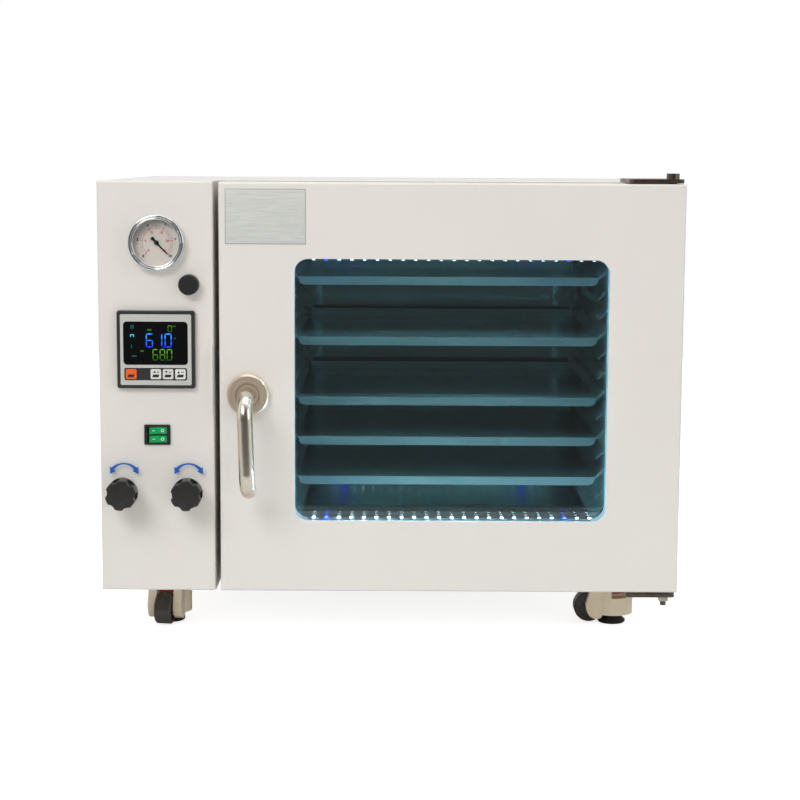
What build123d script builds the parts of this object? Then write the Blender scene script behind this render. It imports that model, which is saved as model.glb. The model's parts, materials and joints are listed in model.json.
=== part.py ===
"""Bench vacuum oven: steel cabinet on levelling casters, control column on the left,
heated chamber with shelves on the right, and a glazed door hinged at its right edge.

+X is to the right, +Y goes into the oven, +Z is up, and Z = 0 is the floor under the pads.
"""
from build123d import *
from math import cos, radians, sin, sqrt
import os

os.makedirs("parts", exist_ok=True)

# ---------------------------------------------------------------- driving dimensions (mm)
sheet = 1.5                     # cabinet and door sheet steel
run_fit = 0.06                  # radial clearance of a pin or shaft that turns in a bore
soft_gap = 0.3                  # gap left between pieces of different bodies

ride_height = 64.0              # floor to the underside of the cabinet
door_side_room = 78.0           # from the chamber to the door's edge, left and right
door_end_room = 82.5            # from the chamber to the cabinet's edge, above and below
rear_room = 89.0                # chamber's end to the back of the rear panel

column_width = 142.0            # control column left of the door
column_setback = 5.0            # column face behind the door face
frame_setback = 76.0            # cabinet front plate behind the door face
edge_radius = 2.5               # folded outer edges
frame_thickness = 2.0
pan_thickness = 2.0
pan_flange = 22.0

door_gap = 7.0                  # between the column and the door
door_depth = 68.0
door_top_gap = 1.0              # under the hinge plate, and the same below the door
window_side_lap = 14.0          # window edge inside the chamber's side, left and right
window_end_lap = 9.65           # the same above and below
window_radius = 17.5
window_shift = 0.4              # window centre to the right of the door's middle
window_sink = 1.5               # window and chamber centre under the cabinet's middle
outer_glass_thickness = 5.0
outer_glass_lap = 12.0
spacer_depth = 18.5             # between the two panes
spacer_wall = 1.5
spacer_flange = 16.0
inner_glass_thickness = 12.7
glass_lap = 7.0                 # inner pane behind the liner's sleeve

chamber_shift = -2.5            # chamber centre from the door's middle
chamber_width = 415.0
chamber_height = 345.0
chamber_depth = 370.0
chamber_wall = 4.0
chamber_radius = 12.0
mouth_setback = 52.0            # chamber mouth behind the door face
collar_width = 16.0             # flange round the mouth
seal_gap = soft_gap
seal_width = 15.0
seal_base = 9.0
seal_lip_width = 7.0
swing_gap = 20.0                # liner opening beside the collar, for the door's swing
rise_gap = 12.0                 # the same above and below

mat_thickness = 5.0
mat_margin = 40.0
insulation_side = 40.0

shelf_levels = (0, 2, 4, 7, 10)
shelf_foot_room = 55.6          # lowest shelf above the chamber's floor
shelf_head_room = 34.9          # highest shelf below its ceiling
shelf_side_room = 18.0          # flat part of a shelf to the chamber's side
shelf_end_room = 29.0           # shelf's back edge to the chamber's back wall
shelf_setback = 68.0            # shelf front behind the door face
shelf_sheet = 1.2
shelf_lip = 10.5                # front lip, turned down
shelf_back_lip = 10.0           # rear lip, turned up
shelf_corner = 8.0              # clipped corners of the front lip
shelf_rise = 9.5                # side flanges, turned up at 45 degrees
rack_sheet = 1.2
rack_gap = soft_gap             # between a shelf flange and its ledge
rack_foot = 14.0                # 45 degree turn at the foot of each rack side
rack_boss_radius = 7.0
rack_boss_inset = 26.0

hinge_inset = 13.0              # hinge axis from the door's right edge
hinge_setback = 30.0
hinge_pin_radius = 5.0
hinge_pin_length = 22.0
hinge_plate_width = 67.5
hinge_plate_thickness = 5.0
hinge_plate_reach = 14.0        # front edge behind the door face
hinge_plate_lap = 40.0          # on the cabinet
hinge_block = 24.0
hinge_head, hinge_head_radius = 7.0, 8.0        # pivot head on the upper plate
lower_plate_width = 60.0
lower_plate_sink = 3.5          # bracket under the cabinet's underside
hinge_washer_radius = 8.0
hinge_nut, hinge_nut_radius = 6.5, 5.6          # under the lower plate
hinge_stub, hinge_stub_radius = 13.0, 3.7       # bolt end through the nut

lever_inset = 35.4              # lever from the door's left edge
lever_sink = 4.9                # lever under the window's middle
lever_radius = 9.6
lever_reach = 60.0              # bar centre line in front of the door face
lever_drop = 114.0
lever_lean = 1.6                # degrees, lower end towards the window
lever_return = 30.0             # lower end, turned back towards the door
lever_bend = 24.0
rosette_radius = 26.0
rosette_depth = 9.0
rosette_edge = 2.4
neck_radius = 13.6              # collar round the lever's neck
neck_groove = 1.6
neck_groove_depth = 2.0
spindle_radius = 5.0
tongue_length = 52.0
tongue_half_width = 8.0
tongue_thickness = 5.0
tongue_setback = 10.0
slot_margin = 2.0
keeper_thickness = 3.0

# Places on the column are given from its middle line and from the top of the cabinet.
gauge_shift, gauge_drop = 2.0, 75.0
gauge_bezel_radius = 34.3
gauge_case_radius = 30.5
gauge_wall = 1.5
gauge_stand = 12.0              # bezel in front of the column face
gauge_depth = 30.0
pointer_length = 20.0

plug_shift, plug_drop = 41.5, 126.0
plug_radius = 12.5
plug_stand = 13.0
plug_stem_radius = 6.0
plug_stem = 22.0

control_shift, control_drop = 0.3, 206.25
control_size = 96.0
control_stand = 7.0
control_body = 91.0
control_depth = 70.0
control_border = 4.3
screen_width, screen_height = 79.5, 53.5
screen_shift, screen_rise = -0.3, 8.05          # from the controller's centre
key_sink = 30.15                                # under the controller's centre
key_shifts = {"key_set": -30.5, "key_left": -0.2, "key_down": 14.8, "key_up": 30.0}
key_widths = {"key_set": 13.6, "key_left": 13.0, "key_down": 13.0, "key_up": 13.0}
key_height = 12.4
key_gap = 0.35
key_travel = 0.8
key_stand = 1.4

switch_shift, switch_drop = 0.2, 312.7
switch_width, switch_height = 32.4, 25.2
switch_stand = 2.5
switch_depth = 26.0
rocker_width, rocker_height = 21.6, 8.2
rocker_pitch = 10.6
rocker_tilt = 12.0              # degrees each side of level
rocker_gap = 0.5                # above and below
rocker_end_gap = 1.3            # beside its ends, for its swing
rocker_pin_radius = 1.0

valve_drop = 382.5
valve_shifts = {"pump": -41.0, "inlet": 39.0}
knob_radius = 19.0
knob_lobes = 7
knob_front = 42.0               # knob front in front of the column face
knob_depth = 24.0
valve_nut_radius = 11.0
valve_nut_depth = 6.0
valve_body_radius = 11.0
valve_body_depth = 44.0
valve_spindle_radius = 4.0

pipe_radius = 4.0
pipe_run_setback = 300.0        # manifold behind the door face
pipe_rear_room = 100.0          # pump pipe's upright in front of the rear panel
pipe_front_room = 60.0          # feed pipes' uprights in front of the manifold
manifold_size = 40.0
port_inset, port_drop = 70.0, 110.0             # rear port from the side and the top
port_radius = 8.0
port_length = 40.0
inlet_inset, inlet_rise = 70.0, 110.0           # power inlet from the side and the underside

caster_setback_front = 112.0
caster_inset_rear = 45.0        # rear swivels from the rear panel
caster_inset_left = 73.0
caster_inset_right = 68.5
caster_plate = 55.0
caster_plate_thickness = 2.5
caster_offset = 30.5            # wheel axle from the swivel axis
caster_wheel_radius = 19.5
caster_wheel_width = 21.5
caster_wheel_gap = 2.0          # wheel above the floor while the pad stands on it
caster_arm = 11.0
caster_side_gap = 0.6
caster_body_radius = 27.0
caster_body_floor = 13.5        # underside of the housing above the floor
arm_floor = 7.6                 # underside of the arms above the floor
caster_axle_radius = 3.0
caster_roof = 4.0               # housing over the wheel slot
wheel_hub = 8.0
wheel_dish = 3.0                # web behind the wheel's side faces
wheel_tread = 4.5
wheel_edge = 2.0
kingpin_radius = 6.0
pad_radius = 18.0
pad_edge = 3.5
pad_height = 9.0
pad_screw_radius = 5.0
adjuster_radius = 20.0
adjuster_height = 7.0
adjuster_z = 41.3
adjuster_window = 5.0           # side window below the thumbwheel
adjuster_gap = 0.5
pad_drop = 8.0                  # how far a pad screws out below its rest place
pad_lift = 2.5

louvre_count = 9
louvre_pitch = 14.0
led_count = 23
led_pitch = 16.0

# ---------------------------------------------------------------- places worked out from them
door_width = chamber_width + 2 * door_side_room
cabinet_width = column_width + door_gap + door_width
cabinet_height = chamber_height + 2 * door_end_room
cabinet_depth = mouth_setback + chamber_depth + chamber_wall + rear_room
z0 = ride_height
z1 = z0 + cabinet_height
chamber_z = (z0 + z1) / 2 - window_sink
x0 = -cabinet_width / 2
x1 = cabinet_width / 2
column_x1 = x0 + column_width
column_mid = x0 + column_width / 2
door_x0 = column_x1 + door_gap
door_x1 = x1
door_mid = (door_x0 + door_x1) / 2
door_z0 = z0 + door_top_gap
door_z1 = z1 - door_top_gap
front_reach = lever_reach + lever_radius
rear_reach = cabinet_depth + port_length
door_y = (front_reach - rear_reach) / 2     # the whole oven's box is centred on Y = 0
column_y = door_y + column_setback
frame_y = door_y + frame_setback
mouth_y = door_y + mouth_setback
rear_y = door_y + cabinet_depth
chamber_x = door_mid + chamber_shift
window_x = door_mid + window_shift
window_width = chamber_width - 2 * window_side_lap
window_height = chamber_height - 2 * window_end_lap
collar_w = chamber_width + 2 * chamber_wall + 2 * collar_width
collar_h = chamber_height + 2 * chamber_wall + 2 * collar_width
collar_radius = chamber_radius + chamber_wall + collar_width / 2
chamber_end_y = mouth_y + chamber_depth + chamber_wall
window_centre = (window_x, chamber_z)
skin_back = door_y + sheet
spacer_y0 = skin_back + outer_glass_thickness
spacer_y1 = spacer_y0 + spacer_depth
inner_glass_y1 = spacer_y1 + inner_glass_thickness
liner_y1 = door_y + door_depth
opening_w = collar_w + 2 * swing_gap
opening_h = collar_h + 2 * rise_gap
hinge_y = door_y + hinge_setback
hinge_x = door_x1 - hinge_inset
lever_x = door_x0 + lever_inset
lever_z = chamber_z - lever_sink
gauge_x, gauge_z = column_mid + gauge_shift, z1 - gauge_drop
plug_x, plug_z = column_mid + plug_shift, z1 - plug_drop
control_x, control_z = column_mid + control_shift, z1 - control_drop
screen_x, screen_z = control_x + screen_shift, control_z + screen_rise
key_z = control_z - key_sink
key_xs = {key: control_x + shift for key, shift in key_shifts.items()}
switch_x, switch_z = column_mid + switch_shift, z1 - switch_drop
valve_z = z1 - valve_drop
valve_xs = {name: column_mid + shift for name, shift in valve_shifts.items()}
port_x, port_z = x0 + port_inset, z1 - port_drop
inlet_x, inlet_z = x0 + inlet_inset, z0 + inlet_rise
caster_x0 = x0 + caster_inset_left
caster_x1 = x1 - caster_inset_right
caster_setback_rear = cabinet_depth - caster_inset_rear
shelf_pitch = (chamber_height - shelf_foot_room - shelf_head_room) / max(shelf_levels)
shelf_base = chamber_z - chamber_height / 2 + shelf_foot_room
shelf_width = chamber_width - 2 * shelf_side_room
shelf_depth = mouth_setback + chamber_depth - shelf_end_room - shelf_setback
manifold_y = door_y + pipe_run_setback
knob_bottom = column_y - knob_front + knob_depth


def facing(y):
    """Plane at this Y that looks out of the front; its own axes are X and Z."""
    return Plane.XZ.offset(-y)


def block(xa, xb, ya, yb, za, zb, mode=Mode.ADD):
    """Add or cut a box between six planes in the part that is being built."""
    with Locations(((xa + xb) / 2, (ya + yb) / 2, (za + zb) / 2)):
        Box(xb - xa, yb - ya, zb - za, mode=mode)


def rod(y_front, y_back, x, z, radius, mode=Mode.ADD):
    """Add or cut a round bar along Y."""
    with BuildSketch(facing(y_front)) as section:
        with Locations((x, z)):
            Circle(radius)
    extrude(section.sketch, amount=-(y_back - y_front), mode=mode)


def post(za, zb, x, y, radius, mode=Mode.ADD):
    """Add or cut a round bar along Z."""
    with BuildSketch(Plane.XY.offset(za)) as section:
        with Locations((x, y)):
            Circle(radius)
    extrude(section.sketch, amount=zb - za, mode=mode)


def slab(y_front, y_back, centre, width, height, radius, mode=Mode.ADD):
    """Add or cut a plate with rounded corners that faces the front."""
    with BuildSketch(facing(y_front)) as section:
        with Locations(centre):
            RectangleRounded(width, height, radius)
    extrude(section.sketch, amount=-(y_back - y_front), mode=mode)


def pipe(*corners):
    """Pipe along straight runs with mitred corners, added to the part that is being built."""
    with BuildLine() as run:
        Polyline(*corners)
    with BuildSketch(Plane(origin=run.line @ 0, z_dir=run.line % 0)) as section:
        Circle(pipe_radius)
    sweep(section.sketch, path=run.line, transition=Transition.RIGHT)


def save(piece, name):
    piece.part.label = name
    export_step(piece.part, f"parts/{name}.step")


# ================================================================ cabinet
with BuildPart() as outer_casing:
    with BuildSketch(facing(frame_y)):
        with Locations((0, (z0 + z1) / 2)):
            casing_outline = Rectangle(cabinet_width, cabinet_height)
        fillet(casing_outline.vertices().group_by(Axis.Y)[-1], edge_radius)
        with Locations((0, (z0 + z1 - sheet) / 2)):
            Rectangle(cabinet_width - 2 * sheet, cabinet_height - sheet, mode=Mode.SUBTRACT)
    extrude(amount=-(rear_y - frame_y))
save(outer_casing, "outer_casing")

with BuildPart() as base_pan:
    block(x0 + sheet, x1 - sheet, frame_y + frame_thickness, rear_y - sheet, z0, z0 + pan_thickness)
    for xa in (x0 + sheet, x1 - sheet - pan_thickness):
        block(xa, xa + pan_thickness, frame_y + frame_thickness, rear_y - sheet, z0, z0 + pan_flange)
    for ya in (frame_y + frame_thickness, rear_y - sheet - pan_thickness):
        block(x0 + sheet, x1 - sheet, ya, ya + pan_thickness, z0, z0 + pan_flange)
save(base_pan, "base_pan")

with BuildPart() as front_plate:
    block(column_x1 - sheet, x1 - sheet, frame_y, frame_y + frame_thickness, z0, z1 - sheet)
    slab(frame_y, frame_y + frame_thickness, (chamber_x, chamber_z),
         chamber_width + 2 * chamber_wall, chamber_height + 2 * chamber_wall,
         chamber_radius + chamber_wall, Mode.SUBTRACT)
save(front_plate, "front_plate")

with BuildPart() as rear_panel:
    block(x0 + sheet, x1 - sheet, rear_y - sheet, rear_y, z0, z1 - sheet)
    louvre_z = (z0 + z1) / 2
    with BuildSketch(facing(rear_y)):
        with Locations((inlet_x, louvre_z)):
            with GridLocations(0, louvre_pitch, 1, louvre_count):
                SlotOverall(90, 4)
    extrude(amount=sheet, mode=Mode.SUBTRACT)
    rod(rear_y - sheet, rear_y, port_x, port_z, port_radius + 4, Mode.SUBTRACT)
    block(inlet_x - 15.5, inlet_x + 15.5, rear_y - sheet, rear_y,
          inlet_z - 12, inlet_z + 12, Mode.SUBTRACT)
save(rear_panel, "rear_panel")

# Control column: a deep folded box, open at the back, with the latch keeper welded inside.
slot_z0 = lever_z - tongue_half_width - slot_margin
slot_z1 = lever_z + tongue_length - slot_margin
slot_y0 = door_y + tongue_setback - slot_margin
slot_y1 = door_y + tongue_setback + tongue_thickness + slot_margin
with BuildPart() as control_panel:
    block(x0, column_x1, column_y, frame_y, z0, z1)
    front_face = control_panel.faces().sort_by(Axis.Y)[0]
    fillet(front_face.edges(), edge_radius)
    offset(amount=-sheet, openings=control_panel.faces().sort_by(Axis.Y)[-1])
    block(column_x1 - sheet - keeper_thickness, column_x1 - sheet, slot_y0 - 8, slot_y1 + 8,
          slot_z0 - 10, slot_z1 + 10)
    block(column_x1 - sheet - keeper_thickness - 1, column_x1 + 1, slot_y0, slot_y1,
          slot_z0, slot_z1, Mode.SUBTRACT)
    rod(column_y, column_y + sheet, gauge_x, gauge_z, gauge_case_radius, Mode.SUBTRACT)
    rod(column_y, column_y + sheet, plug_x, plug_z, plug_stem_radius + 2, Mode.SUBTRACT)
    slab(column_y, column_y + sheet, (control_x, control_z), control_body, control_body, 2,
         Mode.SUBTRACT)
    slab(column_y, column_y + sheet, (switch_x, switch_z), switch_width - 4,
         switch_height - 3, 1, Mode.SUBTRACT)
    for valve_x in valve_xs.values():
        rod(column_y, column_y + sheet, valve_x, valve_z, 6, Mode.SUBTRACT)
save(control_panel, "control_panel")

# ================================================================ chamber and its surround
with BuildPart() as chamber:
    slab(mouth_y, chamber_end_y, (chamber_x, chamber_z), chamber_width + 2 * chamber_wall,
         chamber_height + 2 * chamber_wall, chamber_radius + chamber_wall)
    slab(mouth_y, mouth_y + chamber_wall, (chamber_x, chamber_z), collar_w, collar_h,
         collar_radius)
    slab(mouth_y, mouth_y + chamber_depth, (chamber_x, chamber_z), chamber_width,
         chamber_height, chamber_radius, Mode.SUBTRACT)
    with BuildSketch(Plane.YZ.offset(chamber_x - chamber_width / 2 - chamber_wall)):
        with Locations((manifold_y, chamber_z)):
            Circle(pipe_radius)
    extrude(amount=chamber_wall + 1, mode=Mode.SUBTRACT)
save(chamber, "chamber")

chamber_half_w = chamber_width / 2 + chamber_wall
chamber_half_h = chamber_height / 2 + chamber_wall
mat_y0 = frame_y + frame_thickness + mat_margin
mat_y1 = chamber_end_y - mat_margin
mat_w = chamber_width / 2 - mat_margin
mat_h = chamber_height / 2 - mat_margin
with BuildPart() as heater_mats:
    for side in (-1, 1):
        with Locations((chamber_x + side * (chamber_half_w + mat_thickness / 2),
                        (mat_y0 + mat_y1) / 2, chamber_z + 20)):
            Box(mat_thickness, mat_y1 - mat_y0, 2 * mat_h - 40)
        with Locations((chamber_x, (mat_y0 + mat_y1) / 2,
                        chamber_z + side * (chamber_half_h + mat_thickness / 2))):
            Box(2 * mat_w, mat_y1 - mat_y0, mat_thickness)
    with BuildSketch(Plane.YZ.offset(chamber_x - chamber_half_w - mat_thickness - 1)):
        with Locations((manifold_y, chamber_z)):
            Circle(pipe_radius + 1)
    extrude(amount=mat_thickness + 1, mode=Mode.SUBTRACT)
save(heater_mats, "heater_mats")

wool_x0 = chamber_x - chamber_half_w - mat_thickness - insulation_side
wool_x1 = x1 - sheet - pan_thickness
wool_z0 = z0 + pan_flange
wool_z1 = z1 - sheet
wool_y1 = rear_y - sheet - pan_thickness
with BuildPart() as insulation:
    block(wool_x0, wool_x1, frame_y + frame_thickness, wool_y1, wool_z0, wool_z1)
    block(chamber_x - chamber_half_w - mat_thickness, chamber_x + chamber_half_w + mat_thickness,
          frame_y, chamber_end_y, chamber_z - chamber_half_h - mat_thickness,
          chamber_z + chamber_half_h + mat_thickness, Mode.SUBTRACT)
    with BuildSketch(Plane.YZ.offset(wool_x0 - 1)):
        with Locations((manifold_y, chamber_z)):
            Circle(pipe_radius + 1)
    extrude(amount=insulation_side + 2, mode=Mode.SUBTRACT)
save(insulation, "insulation")

seal_w = chamber_width + 2 * (seal_width + chamber_wall / 2)
seal_h = chamber_height + 2 * (seal_width + chamber_wall / 2)
seal_front = inner_glass_y1 + seal_gap
with BuildPart() as door_seal:
    slab(mouth_y - seal_base, mouth_y, (chamber_x, chamber_z), seal_w, seal_h, collar_radius)
    slab(seal_front, mouth_y - seal_base, (chamber_x, chamber_z),
         seal_w - (seal_width - seal_lip_width), seal_h - (seal_width - seal_lip_width),
         collar_radius - 4)
    slab(mouth_y - seal_base, mouth_y, (chamber_x, chamber_z), seal_w - 2 * seal_width,
         seal_h - 2 * seal_width, chamber_radius, Mode.SUBTRACT)
    slab(seal_front, mouth_y - seal_base, (chamber_x, chamber_z),
         seal_w - seal_width - seal_lip_width, seal_h - seal_width - seal_lip_width,
         chamber_radius + 2, Mode.SUBTRACT)
save(door_seal, "door_seal")

# ================================================================ shelf rack and shelves
shelf_half = shelf_width / 2
root2 = sqrt(2)
rack_u = shelf_half + shelf_rise + shelf_sheet / root2 + rack_gap   # inner face of a rack side
ledge_u = shelf_half + 1.1                                          # inner edge of a ledge
rack_y0 = door_y + shelf_setback + 2
rack_y1 = door_y + shelf_setback + shelf_depth
rack_z0 = chamber_z - chamber_height / 2 + rack_foot + 2
rack_z1 = chamber_z + chamber_height / 2 - 8
first_ledge = -1
last_ledge = int((rack_z1 - shelf_base) / shelf_pitch)
if shelf_base + last_ledge * shelf_pitch + shelf_rise > rack_z1:
    last_ledge = last_ledge - 1


def rack_outlines(side):
    """One rack side in section: upright with its foot turned in to the floor, then the ledges."""
    outer = rack_u + rack_sheet
    upright = [(rack_u, rack_z1), (outer, rack_z1), (outer, rack_z0),
               (outer - rack_foot, rack_z0 - rack_foot),
               (outer - rack_foot - rack_sheet, rack_z0 - rack_foot),
               (rack_u, rack_z0 + 0.4 * rack_sheet)]
    outlines = [upright]
    upper = root2 * (shelf_sheet + rack_gap)
    lower = root2 * (shelf_sheet + rack_gap + rack_sheet)
    ledge_root = rack_u + rack_sheet / 2
    for level in range(first_ledge, last_ledge + 1):
        rise = shelf_base + level * shelf_pitch - shelf_half
        outlines.append([(ledge_root, rise + ledge_root - upper), (ledge_u, rise + ledge_u - upper),
                         (ledge_u, rise + ledge_u - lower), (ledge_root, rise + ledge_root - lower)])
    return [[(side * u, z) for u, z in outline] for outline in outlines]


with BuildPart() as shelf_racks:
    for side in (-1, 1):
        section_plane = Plane(origin=(chamber_x, rack_y0, 0), x_dir=(1, 0, 0), z_dir=(0, -1, 0))
        with BuildSketch(section_plane):
            for outline in rack_outlines(side):
                with BuildLine():
                    Polyline(*outline, close=True)
                make_face()
        extrude(amount=-(rack_y1 - rack_y0))
        wall_u = chamber_width / 2
        near = min(side * (rack_u + rack_sheet), side * wall_u)
        for ya in (rack_y0 + rack_boss_inset, rack_y1 - rack_boss_inset):
            for za in (rack_z0 + rack_boss_inset, rack_z1 - rack_boss_inset):
                with BuildSketch(Plane.YZ.offset(chamber_x + near)):
                    with Locations((ya, za)):
                        Circle(rack_boss_radius)
                extrude(amount=wall_u - rack_u - rack_sheet)
save(shelf_racks, "shelf_racks")

for number, level in enumerate(reversed(shelf_levels), start=1):
    top = shelf_base + level * shelf_pitch
    front = door_y + shelf_setback
    with BuildPart() as shelf:
        block(chamber_x - shelf_half, chamber_x + shelf_half, front, front + shelf_depth,
              top - shelf_sheet, top)
        with BuildSketch(Plane(origin=(chamber_x, front, top), x_dir=(1, 0, 0),
                               z_dir=(0, -1, 0))):
            Polygon((-shelf_half, 0), (shelf_half, 0),
                    (shelf_half - 0.3 * shelf_corner, 0.3 * shelf_corner - shelf_lip),
                    (shelf_half - shelf_corner, -shelf_lip), (shelf_corner - shelf_half, -shelf_lip),
                    (0.3 * shelf_corner - shelf_half, 0.3 * shelf_corner - shelf_lip), align=None)
        extrude(amount=-shelf_sheet)
        block(chamber_x - shelf_half + 2, chamber_x + shelf_half - 2,
              front + shelf_depth - shelf_sheet, front + shelf_depth, top - shelf_sheet,
              top + shelf_back_lip)
        for side in (-1, 1):
            slant = shelf_sheet / root2
            with BuildSketch(Plane(origin=(chamber_x, front + 3, top), x_dir=(1, 0, 0),
                                   z_dir=(0, -1, 0))):
                with BuildLine():
                    Polyline((side * shelf_half, 0), (side * (shelf_half + shelf_rise), shelf_rise),
                             (side * (shelf_half + shelf_rise + slant), shelf_rise - slant),
                             (side * (shelf_half + (root2 - 1) * shelf_sheet), -shelf_sheet),
                             (side * (shelf_half - 1), -shelf_sheet), (side * (shelf_half - 1), 0),
                             close=True)
                make_face()
            extrude(amount=-(shelf_depth - 6))
        bend = shelf.edges().filter_by(Axis.X).filter_by(
            lambda e: abs(e.center().Y - front) < 0.01 and abs(e.center().Z - top) < 0.01)
        fillet(bend, shelf_sheet * 0.8)
    save(shelf, f"shelf_{number}")

# ================================================================ door
with BuildPart() as door_shell:
    block(door_x0, door_x1, door_y, door_y + door_depth, door_z0, door_z1)
    fillet(door_shell.faces().sort_by(Axis.Y)[0].edges(), edge_radius)
    offset(amount=-sheet, openings=door_shell.faces().sort_by(Axis.Y)[-1])
    slab(door_y - 1, door_y + sheet + 1, window_centre, window_width, window_height,
         window_radius, Mode.SUBTRACT)
    block(door_x0 - 1, door_x0 + sheet + 1, slot_y0, slot_y1, slot_z0, slot_z1, Mode.SUBTRACT)
    rod(door_y - 1, door_y + sheet + 1, lever_x, lever_z, spindle_radius + run_fit, Mode.SUBTRACT)
    half = hinge_block / 2
    block_depth = hinge_pin_length + 4
    for za in (door_z0 + sheet, door_z1 - sheet - block_depth):
        block(door_x1 - sheet - hinge_block, door_x1 - sheet, hinge_y - half, hinge_y + half,
              za, za + block_depth)
    for za in (door_z0 - 1, door_z1 - hinge_pin_length - 1):
        post(za, za + hinge_pin_length + 2, hinge_x, hinge_y, hinge_pin_radius + run_fit,
             Mode.SUBTRACT)
save(door_shell, "door_shell")

with BuildPart() as outer_glass:
    slab(skin_back, spacer_y0, window_centre, window_width + 2 * outer_glass_lap,
         window_height + 2 * outer_glass_lap, window_radius + outer_glass_lap / 2)
save(outer_glass, "outer_glass")

with BuildPart() as window_frame:
    inner_w = window_width + 1
    inner_h = window_height + 1
    outer_w = inner_w + 2 * spacer_flange
    outer_h = inner_h + 2 * spacer_flange
    slab(spacer_y0, spacer_y1, window_centre, inner_w + 2 * spacer_wall, inner_h + 2 * spacer_wall,
         window_radius + spacer_wall)
    slab(spacer_y0, spacer_y0 + spacer_wall, window_centre, outer_w, outer_h, window_radius)
    slab(spacer_y1 - spacer_wall, spacer_y1, window_centre, outer_w, outer_h, window_radius)
    slab(spacer_y0, spacer_y1, window_centre, inner_w, inner_h, window_radius, Mode.SUBTRACT)
save(window_frame, "window_frame")

strip_width = 9.0
strip_thickness = 1.0
led_size = 5.0
led_width = 3.5
led_height = 1.2
strip_y = (spacer_y0 + spacer_y1) / 2
with BuildPart() as led_strips:
    for side in (-1, 1):
        strip_z = window_centre[1] + side * (inner_h / 2 - strip_thickness / 2)
        with Locations((window_x, strip_y, strip_z)):
            Box(inner_w - 2 * window_radius, strip_width, strip_thickness)
        led_z = strip_z - side * (strip_thickness + led_height) / 2
        with Locations((window_x, strip_y, led_z)):
            with GridLocations(led_pitch, 1, led_count, 1):
                Box(led_size, led_width, led_height)
save(led_strips, "led_strips")

with BuildPart() as inner_glass:
    slab(spacer_y1, inner_glass_y1, (chamber_x, chamber_z), opening_w + 2 * glass_lap,
         opening_h + 2 * glass_lap, 30)
    chamfer(inner_glass.edges().filter_by(GeomType.LINE).filter_by(Axis.Y, reverse=True), 1)
save(inner_glass, "inner_glass")

with BuildPart() as door_liner:
    block(door_x0 + sheet, door_x1 - sheet, liner_y1 - sheet, liner_y1, door_z0 + sheet,
          door_z1 - sheet)
    slab(inner_glass_y1, liner_y1, (chamber_x, chamber_z), opening_w + 2 * sheet,
         opening_h + 2 * sheet, 30)
    slab(inner_glass_y1, inner_glass_y1 + sheet, (chamber_x, chamber_z),
         opening_w + 2 * glass_lap, opening_h + 2 * glass_lap, 32)
    slab(inner_glass_y1 - 1, liner_y1 + 1, (chamber_x, chamber_z), opening_w, opening_h, 28,
         Mode.SUBTRACT)
save(door_liner, "door_liner")

with BuildPart() as handle_rosette:
    with BuildSketch(facing(door_y)):
        with Locations((lever_x, lever_z)):
            Circle(rosette_radius)
    extrude(amount=rosette_depth)
    chamfer(handle_rosette.edges().sort_by(Axis.Y)[0], rosette_edge)
    with BuildSketch(facing(door_y - rosette_depth)):
        with Locations((lever_x, lever_z)):
            Circle(neck_radius + neck_groove)
            Circle(neck_radius, mode=Mode.SUBTRACT)
    extrude(amount=-neck_groove_depth, mode=Mode.SUBTRACT)
    rod(door_y - rosette_depth, door_y, lever_x, lever_z, spindle_radius + run_fit, Mode.SUBTRACT)
    rod(door_y - rosette_depth - 1, door_y - 2, lever_x, lever_z, lever_radius + run_fit,
        Mode.SUBTRACT)
save(handle_rosette, "handle_rosette")

# ================================================================ lever and latch
lever_y = door_y - lever_reach
with BuildPart() as door_lever:
    with BuildLine():
        lever_path = FilletPolyline((lever_x, door_y - 2.2, lever_z), (lever_x, lever_y, lever_z),
                                    (lever_x, lever_y, lever_z - lever_drop),
                                    (lever_x, lever_y + lever_return, lever_z - lever_drop),
                                    radius=lever_bend)
    with BuildSketch(Plane(origin=lever_path @ 0, z_dir=lever_path % 0)):
        Circle(lever_radius)
    sweep(path=lever_path)
    tip = door_lever.edges().filter_by(GeomType.CIRCLE).filter_by(
        lambda e: abs(e.center().Y - lever_y - lever_return) < 0.01)
    fillet(tip, 3)
door_lever.part = door_lever.part.rotate(Axis((lever_x, lever_y, lever_z), (0, -1, 0)), lever_lean)
save(door_lever, "door_lever")

with BuildPart() as latch_cam:
    spindle_y0 = door_y - 2.2
    rod(spindle_y0, door_y + tongue_setback + tongue_thickness + 3, lever_x, lever_z,
        spindle_radius)
    with BuildSketch(facing(door_y + tongue_setback)):
        with Locations((lever_x, lever_z)):
            Circle(tongue_half_width + 3)
        with Locations((lever_x, lever_z + (tongue_length - tongue_half_width) / 2)):
            Rectangle(2 * tongue_half_width, tongue_length - tongue_half_width)
        with Locations((lever_x, lever_z + tongue_length - tongue_half_width)):
            Circle(tongue_half_width)
    extrude(amount=-tongue_thickness)
save(latch_cam, "latch_cam")

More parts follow.
